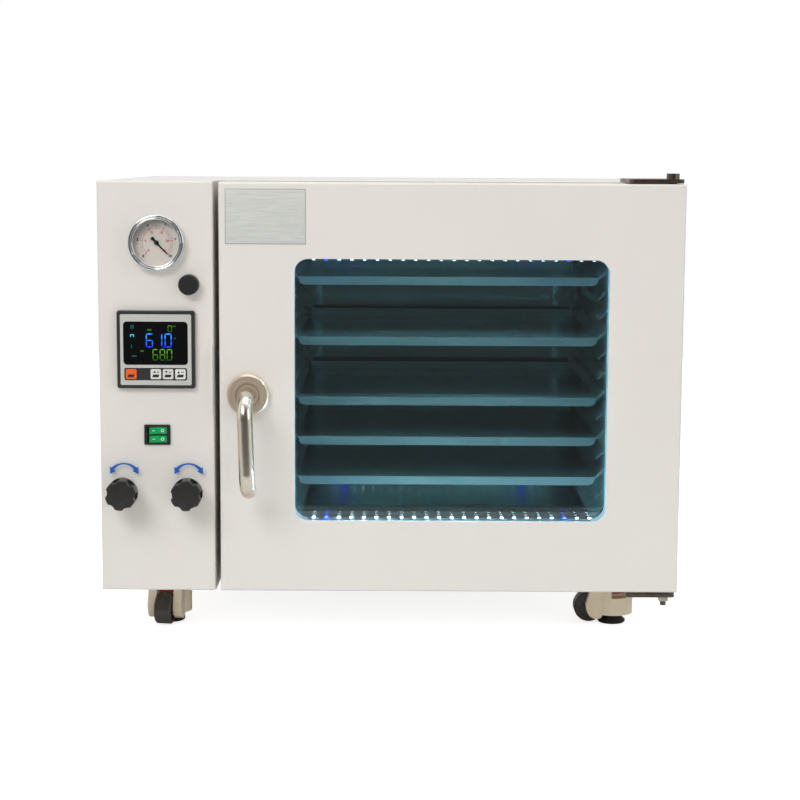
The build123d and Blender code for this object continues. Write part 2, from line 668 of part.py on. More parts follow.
# ================================================================ hinges
with BuildPart() as hinges:
    plate_x1 = x1 - 0.5
    plate_x0 = plate_x1 - hinge_plate_width
    plate_y0 = door_y + hinge_plate_reach
    leg = 5.0
    block(plate_x0, plate_x1, plate_y0, frame_y + hinge_plate_lap, z1, z1 + hinge_plate_thickness)
    lower_x0 = plate_x1 - lower_plate_width
    lower_z = z0 - lower_plate_sink
    block(lower_x0, plate_x1, plate_y0, frame_y, lower_z - hinge_plate_thickness, lower_z)
    block(lower_x0, plate_x1, frame_y - leg, frame_y, lower_z, z0 + hinge_plate_lap)
    ends = (hinges.edges().filter_by(Axis.Z).sort_by(Axis.Y)[:4])
    fillet(ends, 6)
    post(door_z1 - hinge_pin_length, z1, hinge_x, hinge_y, hinge_pin_radius)
    post(lower_z, door_z0 + hinge_pin_length, hinge_x, hinge_y, hinge_pin_radius)
    post(lower_z, door_z0 - soft_gap, hinge_x, hinge_y, hinge_washer_radius)
    post(z1 + hinge_plate_thickness, z1 + hinge_plate_thickness + hinge_head, hinge_x, hinge_y,
         hinge_head_radius)
    nut_z = lower_z - hinge_plate_thickness
    post(nut_z - hinge_nut, nut_z, hinge_x, hinge_y, hinge_nut_radius)
    post(nut_z - hinge_stub, nut_z, hinge_x, hinge_y, hinge_stub_radius)
save(hinges, "hinges")

# ================================================================ gauge
gauge_centre = (gauge_x, gauge_z)
gauge_front = column_y - gauge_stand
dial_y = column_y - 1.0
lens_y = gauge_front + 3.0
lens_thickness = 2.0
gauge_back = column_y + gauge_depth
with BuildPart() as gauge_case:
    with BuildSketch(Plane.XY):
        with BuildLine():
            Polyline((gauge_case_radius - gauge_wall, gauge_front + 2),
                     (gauge_bezel_radius - 3, gauge_front), (gauge_bezel_radius, gauge_front + 3),
                     (gauge_bezel_radius, column_y), (gauge_case_radius, column_y),
                     (gauge_case_radius, gauge_back), (7, gauge_back), (7, gauge_back + 12),
                     (0, gauge_back + 12), (0, gauge_back - 2),
                     (gauge_case_radius - gauge_wall, gauge_back - 2), close=True)
        make_face()
    revolve(axis=Axis.Y)
gauge_case.part.position = (gauge_x, 0, gauge_z)
save(gauge_case, "gauge_case")

dial_radius = gauge_case_radius - gauge_wall
with BuildPart() as gauge_dial:
    rod(dial_y, dial_y + 1.2, *gauge_centre, dial_radius)
    rod(dial_y + 1.2, gauge_back - 2, *gauge_centre, 10)
    rod(dial_y - 1, gauge_back - 2, *gauge_centre, 2 + run_fit, Mode.SUBTRACT)
save(gauge_dial, "gauge_dial")

with BuildPart() as gauge_lens:
    rod(lens_y, lens_y + lens_thickness, *gauge_centre, dial_radius)
save(gauge_lens, "gauge_lens")

pointer_angle = radians(-47)
pointer_y = dial_y - 2.2
with BuildPart() as gauge_pointer:
    with BuildSketch(Plane(origin=(gauge_x, pointer_y, gauge_z),
                           x_dir=(cos(pointer_angle), 0, sin(pointer_angle)), z_dir=(0, -1, 0))):
        Polygon((-9, 2.2), (0, 1.2), (pointer_length - 2, 0.7), (pointer_length, 0),
                (pointer_length - 2, -0.7), (0, -1.2), (-9, -2.2), align=None)
        Circle(3)
    extrude(amount=-0.8)
    rod(pointer_y + 0.8, gauge_back - 4, *gauge_centre, 2)
save(gauge_pointer, "gauge_pointer")

# ================================================================ port plug
plug_centre = (plug_x, plug_z)
with BuildPart() as port_plug:
    rod(column_y - plug_stand, column_y - 2, *plug_centre, plug_radius)
    chamfer(port_plug.edges().sort_by(Axis.Y)[0], 1.2)
    with BuildSketch(facing(column_y - plug_stand + 2.5)):
        with Locations(plug_centre):
            with PolarLocations(plug_radius + 0.35, 24):
                Circle(0.9)
    extrude(amount=-(plug_stand - 5), mode=Mode.SUBTRACT)
    rod(column_y - 2, column_y + plug_stem, *plug_centre, plug_stem_radius)
save(port_plug, "port_plug")

# ================================================================ controller
control_centre = (control_x, control_z)
fascia_y = column_y - control_stand
window_recess = 1.5
with BuildPart() as controller:
    slab(fascia_y, column_y, control_centre, control_size, control_size, 3)
    fillet(controller.faces().sort_by(Axis.Y)[0].edges(), 1.2)
    slab(column_y, column_y + control_depth, control_centre, control_body, control_body, 2)
    slab(fascia_y - 1, fascia_y + window_recess, (screen_x, screen_z), screen_width,
         screen_height, 4.7, Mode.SUBTRACT)
    for key, key_x in key_xs.items():
        slab(fascia_y - 1, fascia_y + 4, (key_x, key_z), key_widths[key] + 2 * key_gap,
             key_height + 2 * key_gap, 2, Mode.SUBTRACT)
save(controller, "controller")

with BuildPart() as controller_screen:
    slab(fascia_y + 0.3, fascia_y + window_recess, (screen_x, screen_z), screen_width,
         screen_height, 4.7)
save(controller_screen, "controller_screen")

for key, key_x in key_xs.items():
    with BuildPart() as key_part:
        slab(fascia_y - key_stand, fascia_y + 4 - key_travel - 0.6, (key_x, key_z),
             key_widths[key], key_height, 1.8)
        fillet(key_part.faces().sort_by(Axis.Y)[0].edges(), 0.6)
    save(key_part, key)

# ================================================================ light and power switch
switch_centre = (switch_x, switch_z)
switch_y = column_y - switch_stand
rocker_axis_y = switch_y + 4.0
pocket_depth = 11.0
with BuildPart() as switch_frame:
    slab(switch_y, column_y, switch_centre, switch_width, switch_height, 1.5)
    fillet(switch_frame.faces().sort_by(Axis.Y)[0].edges(), 0.8)
    slab(column_y, column_y + switch_depth, switch_centre, switch_width - 4, switch_height - 3, 1)
    for side in (-1, 1):
        slab(switch_y - 1, switch_y + pocket_depth,
             (switch_x, switch_z + side * rocker_pitch / 2), rocker_width + 2 * rocker_end_gap,
             rocker_height + 2 * rocker_gap, 0.6, Mode.SUBTRACT)
    pin_reach = (rocker_pitch + rocker_height) / 2 + rocker_gap + 1
    post(switch_z - pin_reach, switch_z + pin_reach, switch_x, rocker_axis_y, rocker_pin_radius)
save(switch_frame, "switch_frame")

# A rocker is a shallow V in plan that rocks on the frame's vertical pin.
rocker_face = 4.2
with BuildPart() as rocker_blank:
    with BuildSketch(Plane.XY.offset(-rocker_height / 2)):
        Polygon((-rocker_width / 2, -rocker_face - 1.6), (0, -rocker_face + 0.6),
                (rocker_width / 2, -rocker_face - 1.6), (rocker_width / 2 - 1.2, 0.5),
                (4, 3.4), (-4, 3.4), (-rocker_width / 2 + 1.2, 0.5), align=None)
    extrude(amount=rocker_height)
    post(-rocker_height, rocker_height, 0, 0, rocker_pin_radius + run_fit, Mode.SUBTRACT)
for name, side in (("rocker_light", 1), ("rocker_power", -1)):
    with BuildPart() as rocker:
        add(rocker_blank.part.rotate(Axis.Z, rocker_tilt).moved(
            Location((switch_x, rocker_axis_y, switch_z + side * rocker_pitch / 2))))
    save(rocker, name)

# ================================================================ valves and vacuum line
for name, valve_x in valve_xs.items():
    with BuildPart() as knob:
        lobe_centre = knob_radius - 4.6
        with BuildSketch(facing(column_y - knob_front)):
            with Locations((valve_x, valve_z)):
                Circle(lobe_centre)
                with PolarLocations(lobe_centre, knob_lobes, start_angle=90):
                    Circle(4.6)
        extrude(amount=-knob_depth)
        chamfer(knob.faces().sort_by(Axis.Y)[0].edges(), 1.4)
        rod(knob_bottom, column_y - valve_nut_depth - 0.5, valve_x, valve_z, 9)
        rod(column_y - valve_nut_depth - 0.5, column_y + 20, valve_x, valve_z,
            valve_spindle_radius)
    save(knob, f"{name}_valve_knob")

manifold_x = (valve_xs["pump"] + valve_xs["inlet"]) / 2
valve_back = column_y + sheet + valve_body_depth
with BuildPart() as vacuum_line:
    for valve_x in valve_xs.values():
        with BuildSketch(facing(column_y - valve_nut_depth)):
            with Locations((valve_x, valve_z)):
                RegularPolygon(valve_nut_radius, 6)
        extrude(amount=-valve_nut_depth)
        rod(column_y, column_y + sheet, valve_x, valve_z, 6)
        rod(column_y + sheet, valve_back, valve_x, valve_z, valve_body_radius)
        rod(column_y - valve_nut_depth - 1, column_y + 21, valve_x, valve_z,
            valve_spindle_radius + run_fit, Mode.SUBTRACT)
    block(manifold_x - manifold_size / 2, manifold_x + manifold_size / 2,
          manifold_y - manifold_size / 2, manifold_y + manifold_size / 2,
          chamber_z - manifold_size / 2, chamber_z + manifold_size / 2)
    # pump valve to the rear port, inlet valve and gauge to the manifold
    turn_y = rear_y - pipe_rear_room
    pump_x = valve_xs["pump"]
    pipe((pump_x, valve_back, valve_z), (pump_x, turn_y, valve_z), (pump_x, turn_y, port_z),
         (port_x, turn_y, port_z), (port_x, rear_y - 10, port_z))
    turn_y = manifold_y - pipe_front_room
    feed_x = valve_xs["inlet"]
    feed_z = chamber_z - manifold_size / 4
    pipe((feed_x, valve_back, valve_z), (feed_x, turn_y, valve_z), (feed_x, turn_y, feed_z),
         (manifold_x, turn_y, feed_z), (manifold_x, manifold_y - manifold_size / 2, feed_z))
    feed_z = chamber_z + manifold_size / 4
    pipe((gauge_x, gauge_back + 12, gauge_z), (gauge_x, turn_y, gauge_z),
         (gauge_x, turn_y, feed_z), (gauge_x, manifold_y - manifold_size / 2, feed_z))
    with BuildSketch(Plane.YZ.offset(manifold_x + manifold_size / 2)):
        with Locations((manifold_y, chamber_z)):
            Circle(pipe_radius - 0.02)
    extrude(amount=chamber_x - chamber_width / 2 - 1 - manifold_x - manifold_size / 2)
    # rear port: flange on the panel and a plain hose nozzle
    rod(rear_y - 12, rear_y, port_x, port_z, port_radius + 4)
    rod(rear_y, rear_y + 6, port_x, port_z, port_radius + 7)
    rod(rear_y + 6, rear_y + port_length, port_x, port_z, port_radius)
    rod(rear_y - 8, rear_y + port_length, port_x, port_z, port_radius - 2.5, Mode.SUBTRACT)
    # port socket behind the column face
    rod(column_y, column_y + sheet, *plug_centre, plug_stem_radius + 2)
    rod(column_y + sheet, column_y + plug_stem + 8, *plug_centre, plug_stem_radius + 5)
    rod(column_y - 1, column_y + plug_stem + 3, *plug_centre, plug_stem_radius + run_fit,
        Mode.SUBTRACT)
save(vacuum_line, "vacuum_line")

inlet_centre = (inlet_x, inlet_z)
with BuildPart() as power_inlet:
    slab(rear_y, rear_y + 2.5, inlet_centre, 50, 28, 5)
    slab(rear_y - 22, rear_y, inlet_centre, 31, 24, 2)
    slab(rear_y - 16, rear_y + 3, inlet_centre, 24.5, 16.5, 2, Mode.SUBTRACT)
    for pin_x, pin_z in ((-7, -2), (7, -2), (0, 2)):
        block(inlet_x + pin_x - 2, inlet_x + pin_x + 2, rear_y - 17, rear_y - 2,
              inlet_centre[1] + pin_z - 1, inlet_centre[1] + pin_z + 1)
save(power_inlet, "power_inlet")

# ================================================================ levelling casters
axle_z = caster_wheel_gap + caster_wheel_radius
plate_z = z0 - caster_plate_thickness
arm_x0 = caster_wheel_width / 2 + caster_side_gap
arm_x1 = arm_x0 + caster_arm
body_top = plate_z - soft_gap
screw_top = adjuster_z + adjuster_height
kingpin_z = plate_z - 9
casters = {"front_left": (caster_x0, door_y + caster_setback_front, -8),
           "front_right": (caster_x1, door_y + caster_setback_front, -90),
           "rear_left": (caster_x0, door_y + caster_setback_rear, 0),
           "rear_right": (caster_x1, door_y + caster_setback_rear, 0)}

with BuildPart() as caster_plates:
    for x, y, turn in casters.values():
        block(x - caster_plate / 2, x + caster_plate / 2, y - caster_plate / 2,
              y + caster_plate / 2, plate_z, z0)
        post(kingpin_z, plate_z, x, y, kingpin_radius)
save(caster_plates, "caster_plates")

# One caster at the origin, wheel towards -Y.
with BuildPart() as fork_blank:
    post(caster_body_floor, body_top, 0, 0, caster_body_radius)
    with BuildSketch(Plane.YZ.offset(-arm_x1)):
        with BuildLine():
            Polyline((0, body_top), (-caster_body_radius + 1, body_top),
                     (-caster_offset - 1, axle_z + 20), (-caster_offset - 5.5, axle_z + 5.5),
                     (-caster_offset - 4, axle_z - 3), (-caster_offset - 0.5, axle_z - 9.5),
                     (-caster_offset + 5, arm_floor + 1), (-caster_offset + 9.5, arm_floor),
                     (-caster_offset + 14.5, arm_floor + 2), (-caster_offset + 18, axle_z - 5.5),
                     (0, axle_z - 5.5), close=True)
        make_face()
    extrude(amount=2 * arm_x1)
    # wheel slot, pad well, adjuster pocket with its side windows, screw and kingpin bores
    block(-arm_x0, arm_x0, -80, -6, -1, axle_z + caster_wheel_radius + 1.5, Mode.SUBTRACT)
    block(-arm_x0, arm_x0, -80, 2 - adjuster_radius, -1, body_top - caster_roof, Mode.SUBTRACT)
    post(caster_body_floor - 1, caster_body_floor + 4, 0, 0, pad_radius + 1, Mode.SUBTRACT)
    post(adjuster_z - adjuster_gap, adjuster_z + adjuster_height + adjuster_gap, 0, 0,
         adjuster_radius + 0.8, Mode.SUBTRACT)
    for side in (-1, 1):
        block(min(side * 11, side * 40), max(side * 11, side * 40), -3, 17,
              adjuster_z - adjuster_window, adjuster_z + adjuster_height + adjuster_gap,
              Mode.SUBTRACT)
    post(0, kingpin_z - 0.5, 0, 0, pad_screw_radius + run_fit, Mode.SUBTRACT)
    post(kingpin_z - 0.5, plate_z, 0, 0, kingpin_radius + run_fit, Mode.SUBTRACT)
    with BuildSketch(Plane.YZ.offset(-arm_x1 - 1)):
        with Locations((-caster_offset, axle_z)):
            Circle(caster_axle_radius)
    extrude(amount=2 * arm_x1 + 2, mode=Mode.SUBTRACT)

with BuildPart() as axle_blank:
    with BuildSketch(Plane.YZ.offset(-arm_x1)):
        with Locations((-caster_offset, axle_z)):
            Circle(caster_axle_radius)
    extrude(amount=2 * arm_x1)

with BuildPart() as wheel_blank:
    half_width = caster_wheel_width / 2
    hub = caster_axle_radius + run_fit
    with BuildSketch(Plane.XY):
        with BuildLine():
            Polyline((-half_width, hub), (-half_width, wheel_hub),
                     (-half_width + wheel_dish, wheel_hub),
                     (-half_width + wheel_dish, caster_wheel_radius - wheel_tread),
                     (-half_width, caster_wheel_radius - wheel_tread),
                     (-half_width, caster_wheel_radius - wheel_edge),
                     (-half_width + wheel_edge, caster_wheel_radius),
                     (half_width - wheel_edge, caster_wheel_radius),
                     (half_width, caster_wheel_radius - wheel_edge),
                     (half_width, caster_wheel_radius - wheel_tread),
                     (half_width - wheel_dish, caster_wheel_radius - wheel_tread),
                     (half_width - wheel_dish, wheel_hub), (half_width, wheel_hub),
                     (half_width, hub), close=True)
        make_face()
    revolve(axis=Axis.X)

with BuildPart() as pad_blank:
    with BuildSketch(Plane.XZ):
        with BuildLine():
            Polyline((0, 0), (pad_radius - 1.5, 0), (pad_radius, 1.5), (pad_radius, pad_edge),
                     (12, pad_height), (pad_screw_radius, pad_height),
                     (pad_screw_radius, screw_top - adjuster_height - 4),
                     (pad_screw_radius, kingpin_z - pad_lift - 1), (0, kingpin_z - pad_lift - 1),
                     close=True)
        make_face()
    revolve(axis=Axis.Z)

with BuildPart() as adjuster_blank:
    post(adjuster_z, adjuster_z + adjuster_height, 0, 0, adjuster_radius)
    with BuildSketch(Plane.XY.offset(adjuster_z - 1)):
        with PolarLocations(adjuster_radius + 1, 12):
            Circle(2)
    extrude(amount=adjuster_height + 2, mode=Mode.SUBTRACT)
    post(adjuster_z - 1, adjuster_z + adjuster_height + 1, 0, 0, pad_screw_radius + run_fit,
         Mode.SUBTRACT)

for corner, (x, y, turn) in casters.items():
    place = Location((x, y, 0), (0, 0, turn))
    with BuildPart() as fork:
        add(fork_blank.part.moved(place))
    axle = axle_blank.part.moved(place)
    group = Compound(label=f"{corner}_fork", children=[fork.part.solid(), axle.solid()])
    export_step(group, f"parts/{corner}_fork.step")
    with BuildPart() as wheel:
        add(wheel_blank.part.moved(place * Location((0, -caster_offset, axle_z))))
    save(wheel, f"{corner}_wheel")
    with BuildPart() as pad:
        add(pad_blank.part.moved(place))
    save(pad, f"{corner}_pad")
    with BuildPart() as adjuster:
        add(adjuster_blank.part.moved(place))
    save(adjuster, f"{corner}_adjuster")

print("door face at Y", door_y, " rear panel at Y", rear_y, " chamber centre Z", chamber_z)
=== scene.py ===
"""Bench vacuum oven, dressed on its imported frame.

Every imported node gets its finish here. The pieces that the frame leaves out are modelled on top:
the marks of the dial, the readouts and key symbols, the turn arrows, the bare nameplate, the lamps
of the door, the bolt and the screws. The gauge's pointer and the valve knobs are modelled anew in
place of their nodes. A pale studio with a camera closes the script.
"""

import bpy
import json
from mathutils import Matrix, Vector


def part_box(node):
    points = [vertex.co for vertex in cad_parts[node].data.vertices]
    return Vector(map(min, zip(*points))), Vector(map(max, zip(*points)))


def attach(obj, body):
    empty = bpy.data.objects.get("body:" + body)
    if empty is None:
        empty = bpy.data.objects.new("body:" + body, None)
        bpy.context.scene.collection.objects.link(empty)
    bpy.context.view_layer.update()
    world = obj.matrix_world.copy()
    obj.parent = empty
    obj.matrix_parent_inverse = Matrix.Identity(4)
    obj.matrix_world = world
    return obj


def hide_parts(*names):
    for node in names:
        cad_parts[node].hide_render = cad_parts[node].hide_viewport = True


bl_info = {
    "name": "Vacuum Oven",
    "version": (1, 0, 0),
    "blender": (4, 5, 0),
    "location": "View3D > Sidebar > Oven",
    "description": "Finishes and fine pieces of a bench vacuum oven on its packed frame",
    "category": "Object",
}

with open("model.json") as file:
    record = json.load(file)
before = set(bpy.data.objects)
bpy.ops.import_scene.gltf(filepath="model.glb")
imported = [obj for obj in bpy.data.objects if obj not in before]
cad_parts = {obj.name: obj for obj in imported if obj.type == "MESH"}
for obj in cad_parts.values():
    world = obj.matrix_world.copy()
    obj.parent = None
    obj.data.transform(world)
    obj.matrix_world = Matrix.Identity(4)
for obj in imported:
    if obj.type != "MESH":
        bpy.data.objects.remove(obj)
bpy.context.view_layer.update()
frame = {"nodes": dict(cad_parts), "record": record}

import json
import math

import bmesh
import bpy
from bpy.props import FloatProperty, FloatVectorProperty, IntProperty, PointerProperty
from mathutils import Matrix, Vector

MM = 0.001


# ---------------------------------------------------------------- places taken from the frame
def low(node):
    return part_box(node)[0]


def high(node):
    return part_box(node)[1]


def middle(node):
    return (low(node) + high(node)) / 2


DOOR_Y = low("door_shell").y
COLUMN_Y = low("control_panel").y
REAR_Y = high("rear_panel").y
FASCIA_Y = low("controller").y
DIAL_Y = low("gauge_dial").y
CABINET_LOW = low("outer_casing")
CABINET_HIGH = high("outer_casing")


# ---------------------------------------------------------------- what a user would change
def linear(red, green, blue):
    """A screen colour from 0 to 255, as the linear values that a shader takes."""
    values = []
    for channel in (red, green, blue):
        share = channel / 255
        values.append(share / 12.92 if share <= 0.04045 else ((share + 0.055) / 1.055) ** 2.4)
    return tuple(values)


def colour_property(name, description, default):
    return FloatVectorProperty(name=name, description=description, default=default, size=3,
                               min=0.0, max=1.0, subtype="COLOR")


def length_property(name, description, default):
    return FloatProperty(name=name, description=description, default=default, min=0.0,
                         unit="LENGTH", precision=4)


class OvenFinish(bpy.types.PropertyGroup):
    """Colours of the oven's surfaces."""
    paint: colour_property("Paint", "Powder coat of cabinet, door and column",
                           linear(227, 224, 219))
    cam: colour_property("Cam", "Brushed stainless of the latch cam", linear(206, 204, 198))
    lever: colour_property("Lever", "Brushed stainless of the door lever",
                           linear(226, 216, 198))
    rosette: colour_property("Rosette", "Turned stainless of the lever's rosette",
                             linear(214, 196, 176))
    mirror: colour_property("Chamber", "Polished stainless of the chamber",
                            linear(176, 186, 184))
    glass: colour_property("Glass", "Tint of the window panes", linear(226, 240, 242))
    plastic: colour_property("Plastic", "Black mouldings", linear(30, 30, 31))
    ivory: colour_property("Caster", "Caster housings", linear(250, 236, 208))
    arrow: colour_property("Arrow", "Printed turn arrows", linear(0, 96, 196))
    readout_blue: colour_property("Reading", "Upper readout", linear(40, 150, 255))
    readout_green: colour_property("Set point", "Lower readout", linear(112, 190, 24))
    lamp: colour_property("Lamp", "Light of the door lamps", linear(205, 240, 255))
    lamp_strength: FloatProperty(name="Lamp strength", description="Glow of each door lamp",
                                 default=1500.0, min=0.0, max=5000.0)


class OvenTrim(bpy.types.PropertyGroup):
    """Sizes of the fine pieces."""
    plate_width: length_property("Nameplate width", "Bare nameplate on the door", 99 * MM)
    plate_height: length_property("Nameplate height", "Bare nameplate on the door", 67.5 * MM)
    arrow_radius: length_property("Arrow radius", "Middle line of a turn arrow", 18.4 * MM)
    knob_radius: length_property("Knob radius", "Across the lobes of a valve knob", 19 * MM)
    print_depth: length_property("Print depth", "Thickness of printed marks", 0.12 * MM)
    bolt_radius: length_property("Bolt radius", "Across the corners of a hexagon head", 6.8 * MM)
    dial_marks: IntProperty(name="Dial marks", description="Fine marks of the outer scale",
                            default=50, min=10, max=100)


class OvenStudio(bpy.types.PropertyGroup):
    """Lamps of the studio."""
    key: FloatProperty(name="Key", description="Large soft lamp at the upper left", default=38.0,
                       min=0.0, unit="POWER")
    fill: FloatProperty(name="Fill", description="Soft lamp at the right", default=12.0, min=0.0,
                        unit="POWER")
    top: FloatProperty(name="Top", description="Soft lamp overhead", default=17.0, min=0.0,
                       unit="POWER")
    warm: FloatProperty(name="Warm", description="Low lamp at the front", default=4.0, min=0.0,
                        unit="POWER")
    ambient: FloatProperty(name="Ambient", description="Light from all round", default=0.36,
                           min=0.0, max=2.0)


def finish_of(context):
    return context.scene.oven_finish


def trim_of(context):
    return context.scene.oven_trim


# ---------------------------------------------------------------- finishes
COLOUR_A, COLOUR_B, COLOUR_RESULT = 6, 7, 2     # sockets of a colour mix
FLOAT_A, FLOAT_B = 2, 3                         # sockets of a number mix


class Shade:
    """One material whose nodes are being wired, all in object coordinates."""

    def __init__(self, name, colour, roughness, metallic=0.0, **sockets):
        self.material = bpy.data.materials.new(name)
        self.material.use_nodes = True
        self.tree = self.material.node_tree
        self.shader = self.tree.nodes["Principled BSDF"]
        self.output = self.tree.nodes["Material Output"]
        self.colour = (*colour[:3], 1.0)
        self.set("Base Color", self.colour)
        self.set("Roughness", roughness)
        self.set("Metallic", metallic)
        for socket, value in sockets.items():
            self.set(socket.replace("_", " ").title().replace("Ior", "IOR"), value)
        self.coordinates = self.node("ShaderNodeTexCoord").outputs["Object"]

    def node(self, kind, **settings):
        made = self.tree.nodes.new(kind)
        for setting, value in settings.items():
            setattr(made, setting, value)
        return made

    def link(self, source, target):
        self.tree.links.new(source, target)

    def set(self, socket, value):
        self.shader.inputs[socket].default_value = value

    def stretched(self, scale):
        """Object coordinates scaled along each axis, for grain that runs one way."""
        mapping = self.node("ShaderNodeMapping")
        mapping.inputs["Scale"].default_value = scale
        self.link(self.coordinates, mapping.inputs["Vector"])
        return mapping.outputs["Vector"]

    def noise(self, scale, detail=3.0, vector=None, roughness=0.5):
        texture = self.node("ShaderNodeTexNoise")
        texture.inputs["Scale"].default_value = scale
        texture.inputs["Detail"].default_value = detail
        texture.inputs["Roughness"].default_value = roughness
        self.link(vector or self.coordinates, texture.inputs["Vector"])
        return texture.outputs["Fac"]

    def cells(self, scale):
        texture = self.node("ShaderNodeTexVoronoi", feature="F1")
        texture.inputs["Scale"].default_value = scale
        self.link(self.coordinates, texture.inputs["Vector"])
        return texture.outputs["Distance"]

    def spread(self, factor, start, end, first=0.3, last=0.7):
        """Maps a factor from first..last to start..end."""
        ranged = self.node("ShaderNodeMapRange")
        self.link(factor, ranged.inputs["Value"])
        for socket, value in (("From Min", first), ("From Max", last), ("To Min", start),
                              ("To Max", end)):
            ranged.inputs[socket].default_value = value
        return ranged.outputs["Result"]

    def blend(self, factor, first, second):
        mix = self.node("ShaderNodeMix", data_type="RGBA")
        self.link(factor, mix.inputs["Factor"])
        mix.inputs[COLOUR_A].default_value = (*first[:3], 1.0)
        mix.inputs[COLOUR_B].default_value = (*second[:3], 1.0)
        return mix.outputs[COLOUR_RESULT]

    def tint(self, factor, shade, first=0.3, last=0.7):
        """Blends the base colour towards another where the factor is high."""
        mixed = self.blend(self.spread(factor, 0.0, 1.0, first, last), self.colour, shade)
        self.link(mixed, self.shader.inputs["Base Color"])

    def wear(self, factor, smooth, rough):
        self.link(self.spread(factor, smooth, rough), self.shader.inputs["Roughness"])

    def relief(self, height, strength, depth):
        bump = self.node("ShaderNodeBump")
        bump.inputs["Strength"].default_value = strength
        bump.inputs["Distance"].default_value = depth
        self.link(height, bump.inputs["Height"])
        self.link(bump.outputs["Normal"], self.shader.inputs["Normal"])

    def glow(self, colour, strength):
        self.set("Emission Color", (*colour[:3], 1.0))
        self.set("Emission Strength", strength)


def darker(colour, share):
    """A colour with this share of its light."""
    return tuple(channel * share for channel in colour[:3])


def powder_coat(look):
    """Baked paint with a fine orange peel."""
    shade = Shade("powder coat", look.paint, 0.42, specular_ior_level=0.4)
    shade.tint(shade.noise(5.0, 2.0), darker(look.paint, 0.975))
    shade.wear(shade.noise(260.0, 4.0), 0.36, 0.48)
    shade.relief(shade.noise(620.0, 3.0), 0.16, 0.12 * MM)
    return shade.material


def brushed(name, colour, scale, smooth, rough, strength=0.12):
    """Brushed metal whose grain is long along the axes with a small scale."""
    shade = Shade(name, colour, 0.3, 1.0)
    grain = shade.noise(1.0, 6.0, shade.stretched(scale), 0.65)
    shade.tint(grain, darker(colour, 0.82))
    shade.wear(grain, smooth, rough)
    shade.relief(grain, strength, 0.05 * MM)
    return shade.material


def turned_steel(name, colour, centre):
    """Metal faced on a lathe: its grain runs in circles about a line towards the front."""
    shade = Shade(name, colour, 0.3, 0.6)
    shift = shade.node("ShaderNodeMapping")
    shift.inputs["Location"].default_value = (-centre.x, -centre.y, -centre.z)
    shift.inputs["Scale"].default_value = (1.0, 0.0, 1.0)
    shade.link(shade.coordinates, shift.inputs["Vector"])
    radius = shade.node("ShaderNodeVectorMath", operation="LENGTH")
    shade.link(shift.outputs["Vector"], radius.inputs[0])
    rings = shade.node("ShaderNodeTexNoise", noise_dimensions="1D")
    rings.inputs["Scale"].default_value = 1600.0
    rings.inputs["Detail"].default_value = 4.0
    shade.link(radius.outputs["Value"], rings.inputs["W"])
    shade.tint(rings.outputs["Fac"], darker(colour, 0.84))
    shade.wear(rings.outputs["Fac"], 0.24, 0.4)
    shade.relief(rings.outputs["Fac"], 0.25, 0.05 * MM)
    return shade.material


def polished(name, colour, smooth=0.08, rough=0.2, metallic=1.0):
    """Rolled mirror-like sheet with faint streaks and smears."""
    shade = Shade(name, colour, 0.14, metallic)
    streak = shade.noise(1.0, 4.0, shade.stretched((6.0, 60.0, 240.0)), 0.6)
    smear = shade.noise(14.0, 4.0)
    shade.tint(streak, darker(colour, 0.86))
    shade.wear(smear, smooth, rough)
    shade.relief(shade.noise(9.0, 1.0), 0.25, 0.5 * MM)
    return shade.material


def moulded(name, colour, roughness=0.45, grain=900.0, strength=0.2):
    """Moulded plastic with a fine spark texture."""
    shade = Shade(name, colour, roughness)
    speck = shade.noise(grain, 3.0)
    shade.tint(shade.noise(40.0, 3.0), darker(colour, 0.88))
    shade.wear(speck, roughness - 0.08, roughness + 0.1)
    shade.relief(speck, strength, 0.06 * MM)
    return shade.material


def fibrous(name, colour):
    """Loose wool whose fibres lie in layers."""
    shade = Shade(name, colour, 0.95)
    wool = shade.noise(120.0, 8.0, shade.stretched((1.0, 0.4, 2.2)), 0.7)
    shade.tint(wool, darker(colour, 0.6))
    shade.relief(wool, 0.8, 1.5 * MM)
    return shade.material


def clear_glass(name, tint):
    """Glass. Light from the lamps goes straight through it."""
    shade = Shade(name, tint, 0.0, transmission_weight=1.0, ior=1.5)
    shade.relief(shade.noise(3.0, 1.0), 0.01, 0.3 * MM)
    open_way = shade.node("ShaderNodeBsdfTransparent")
    open_way.inputs["Color"].default_value = (*tint[:3], 1.0)
    path = shade.node("ShaderNodeLightPath")
    mix = shade.node("ShaderNodeMixShader")
    shade.link(path.outputs["Is Shadow Ray"], mix.inputs["Fac"])
    shade.link(shade.shader.outputs["BSDF"], mix.inputs[1])
    shade.link(open_way.outputs["BSDF"], mix.inputs[2])
    shade.link(mix.outputs["Shader"], shade.output.inputs["Surface"])
    return shade.material


def lit(name, colour, glow, strength, roughness=0.3):
    """A surface that glows evenly, with a faint grain in its body."""
    shade = Shade(name, colour, roughness)
    shade.tint(shade.noise(700.0, 2.0), darker(colour, 0.8))
    shade.glow(glow, strength)
    return shade.material


def figure_light(name, upper, lower, top, bottom, strength):
    """Light of a figure that is brighter at its top than at its foot."""
    shade = Shade(name, darker(lower, 0.3), 0.3)
    axes = shade.node("ShaderNodeSeparateXYZ")
    shade.link(shade.coordinates, axes.inputs["Vector"])
    light = shade.blend(shade.spread(axes.outputs["Z"], 0.0, 1.0, bottom, top), lower, upper)
    shade.link(light, shade.shader.inputs["Emission Color"])
    shade.set("Emission Strength", strength)
    shade.tint(shade.noise(900.0, 2.0), darker(lower, 0.2))
    return shade.material


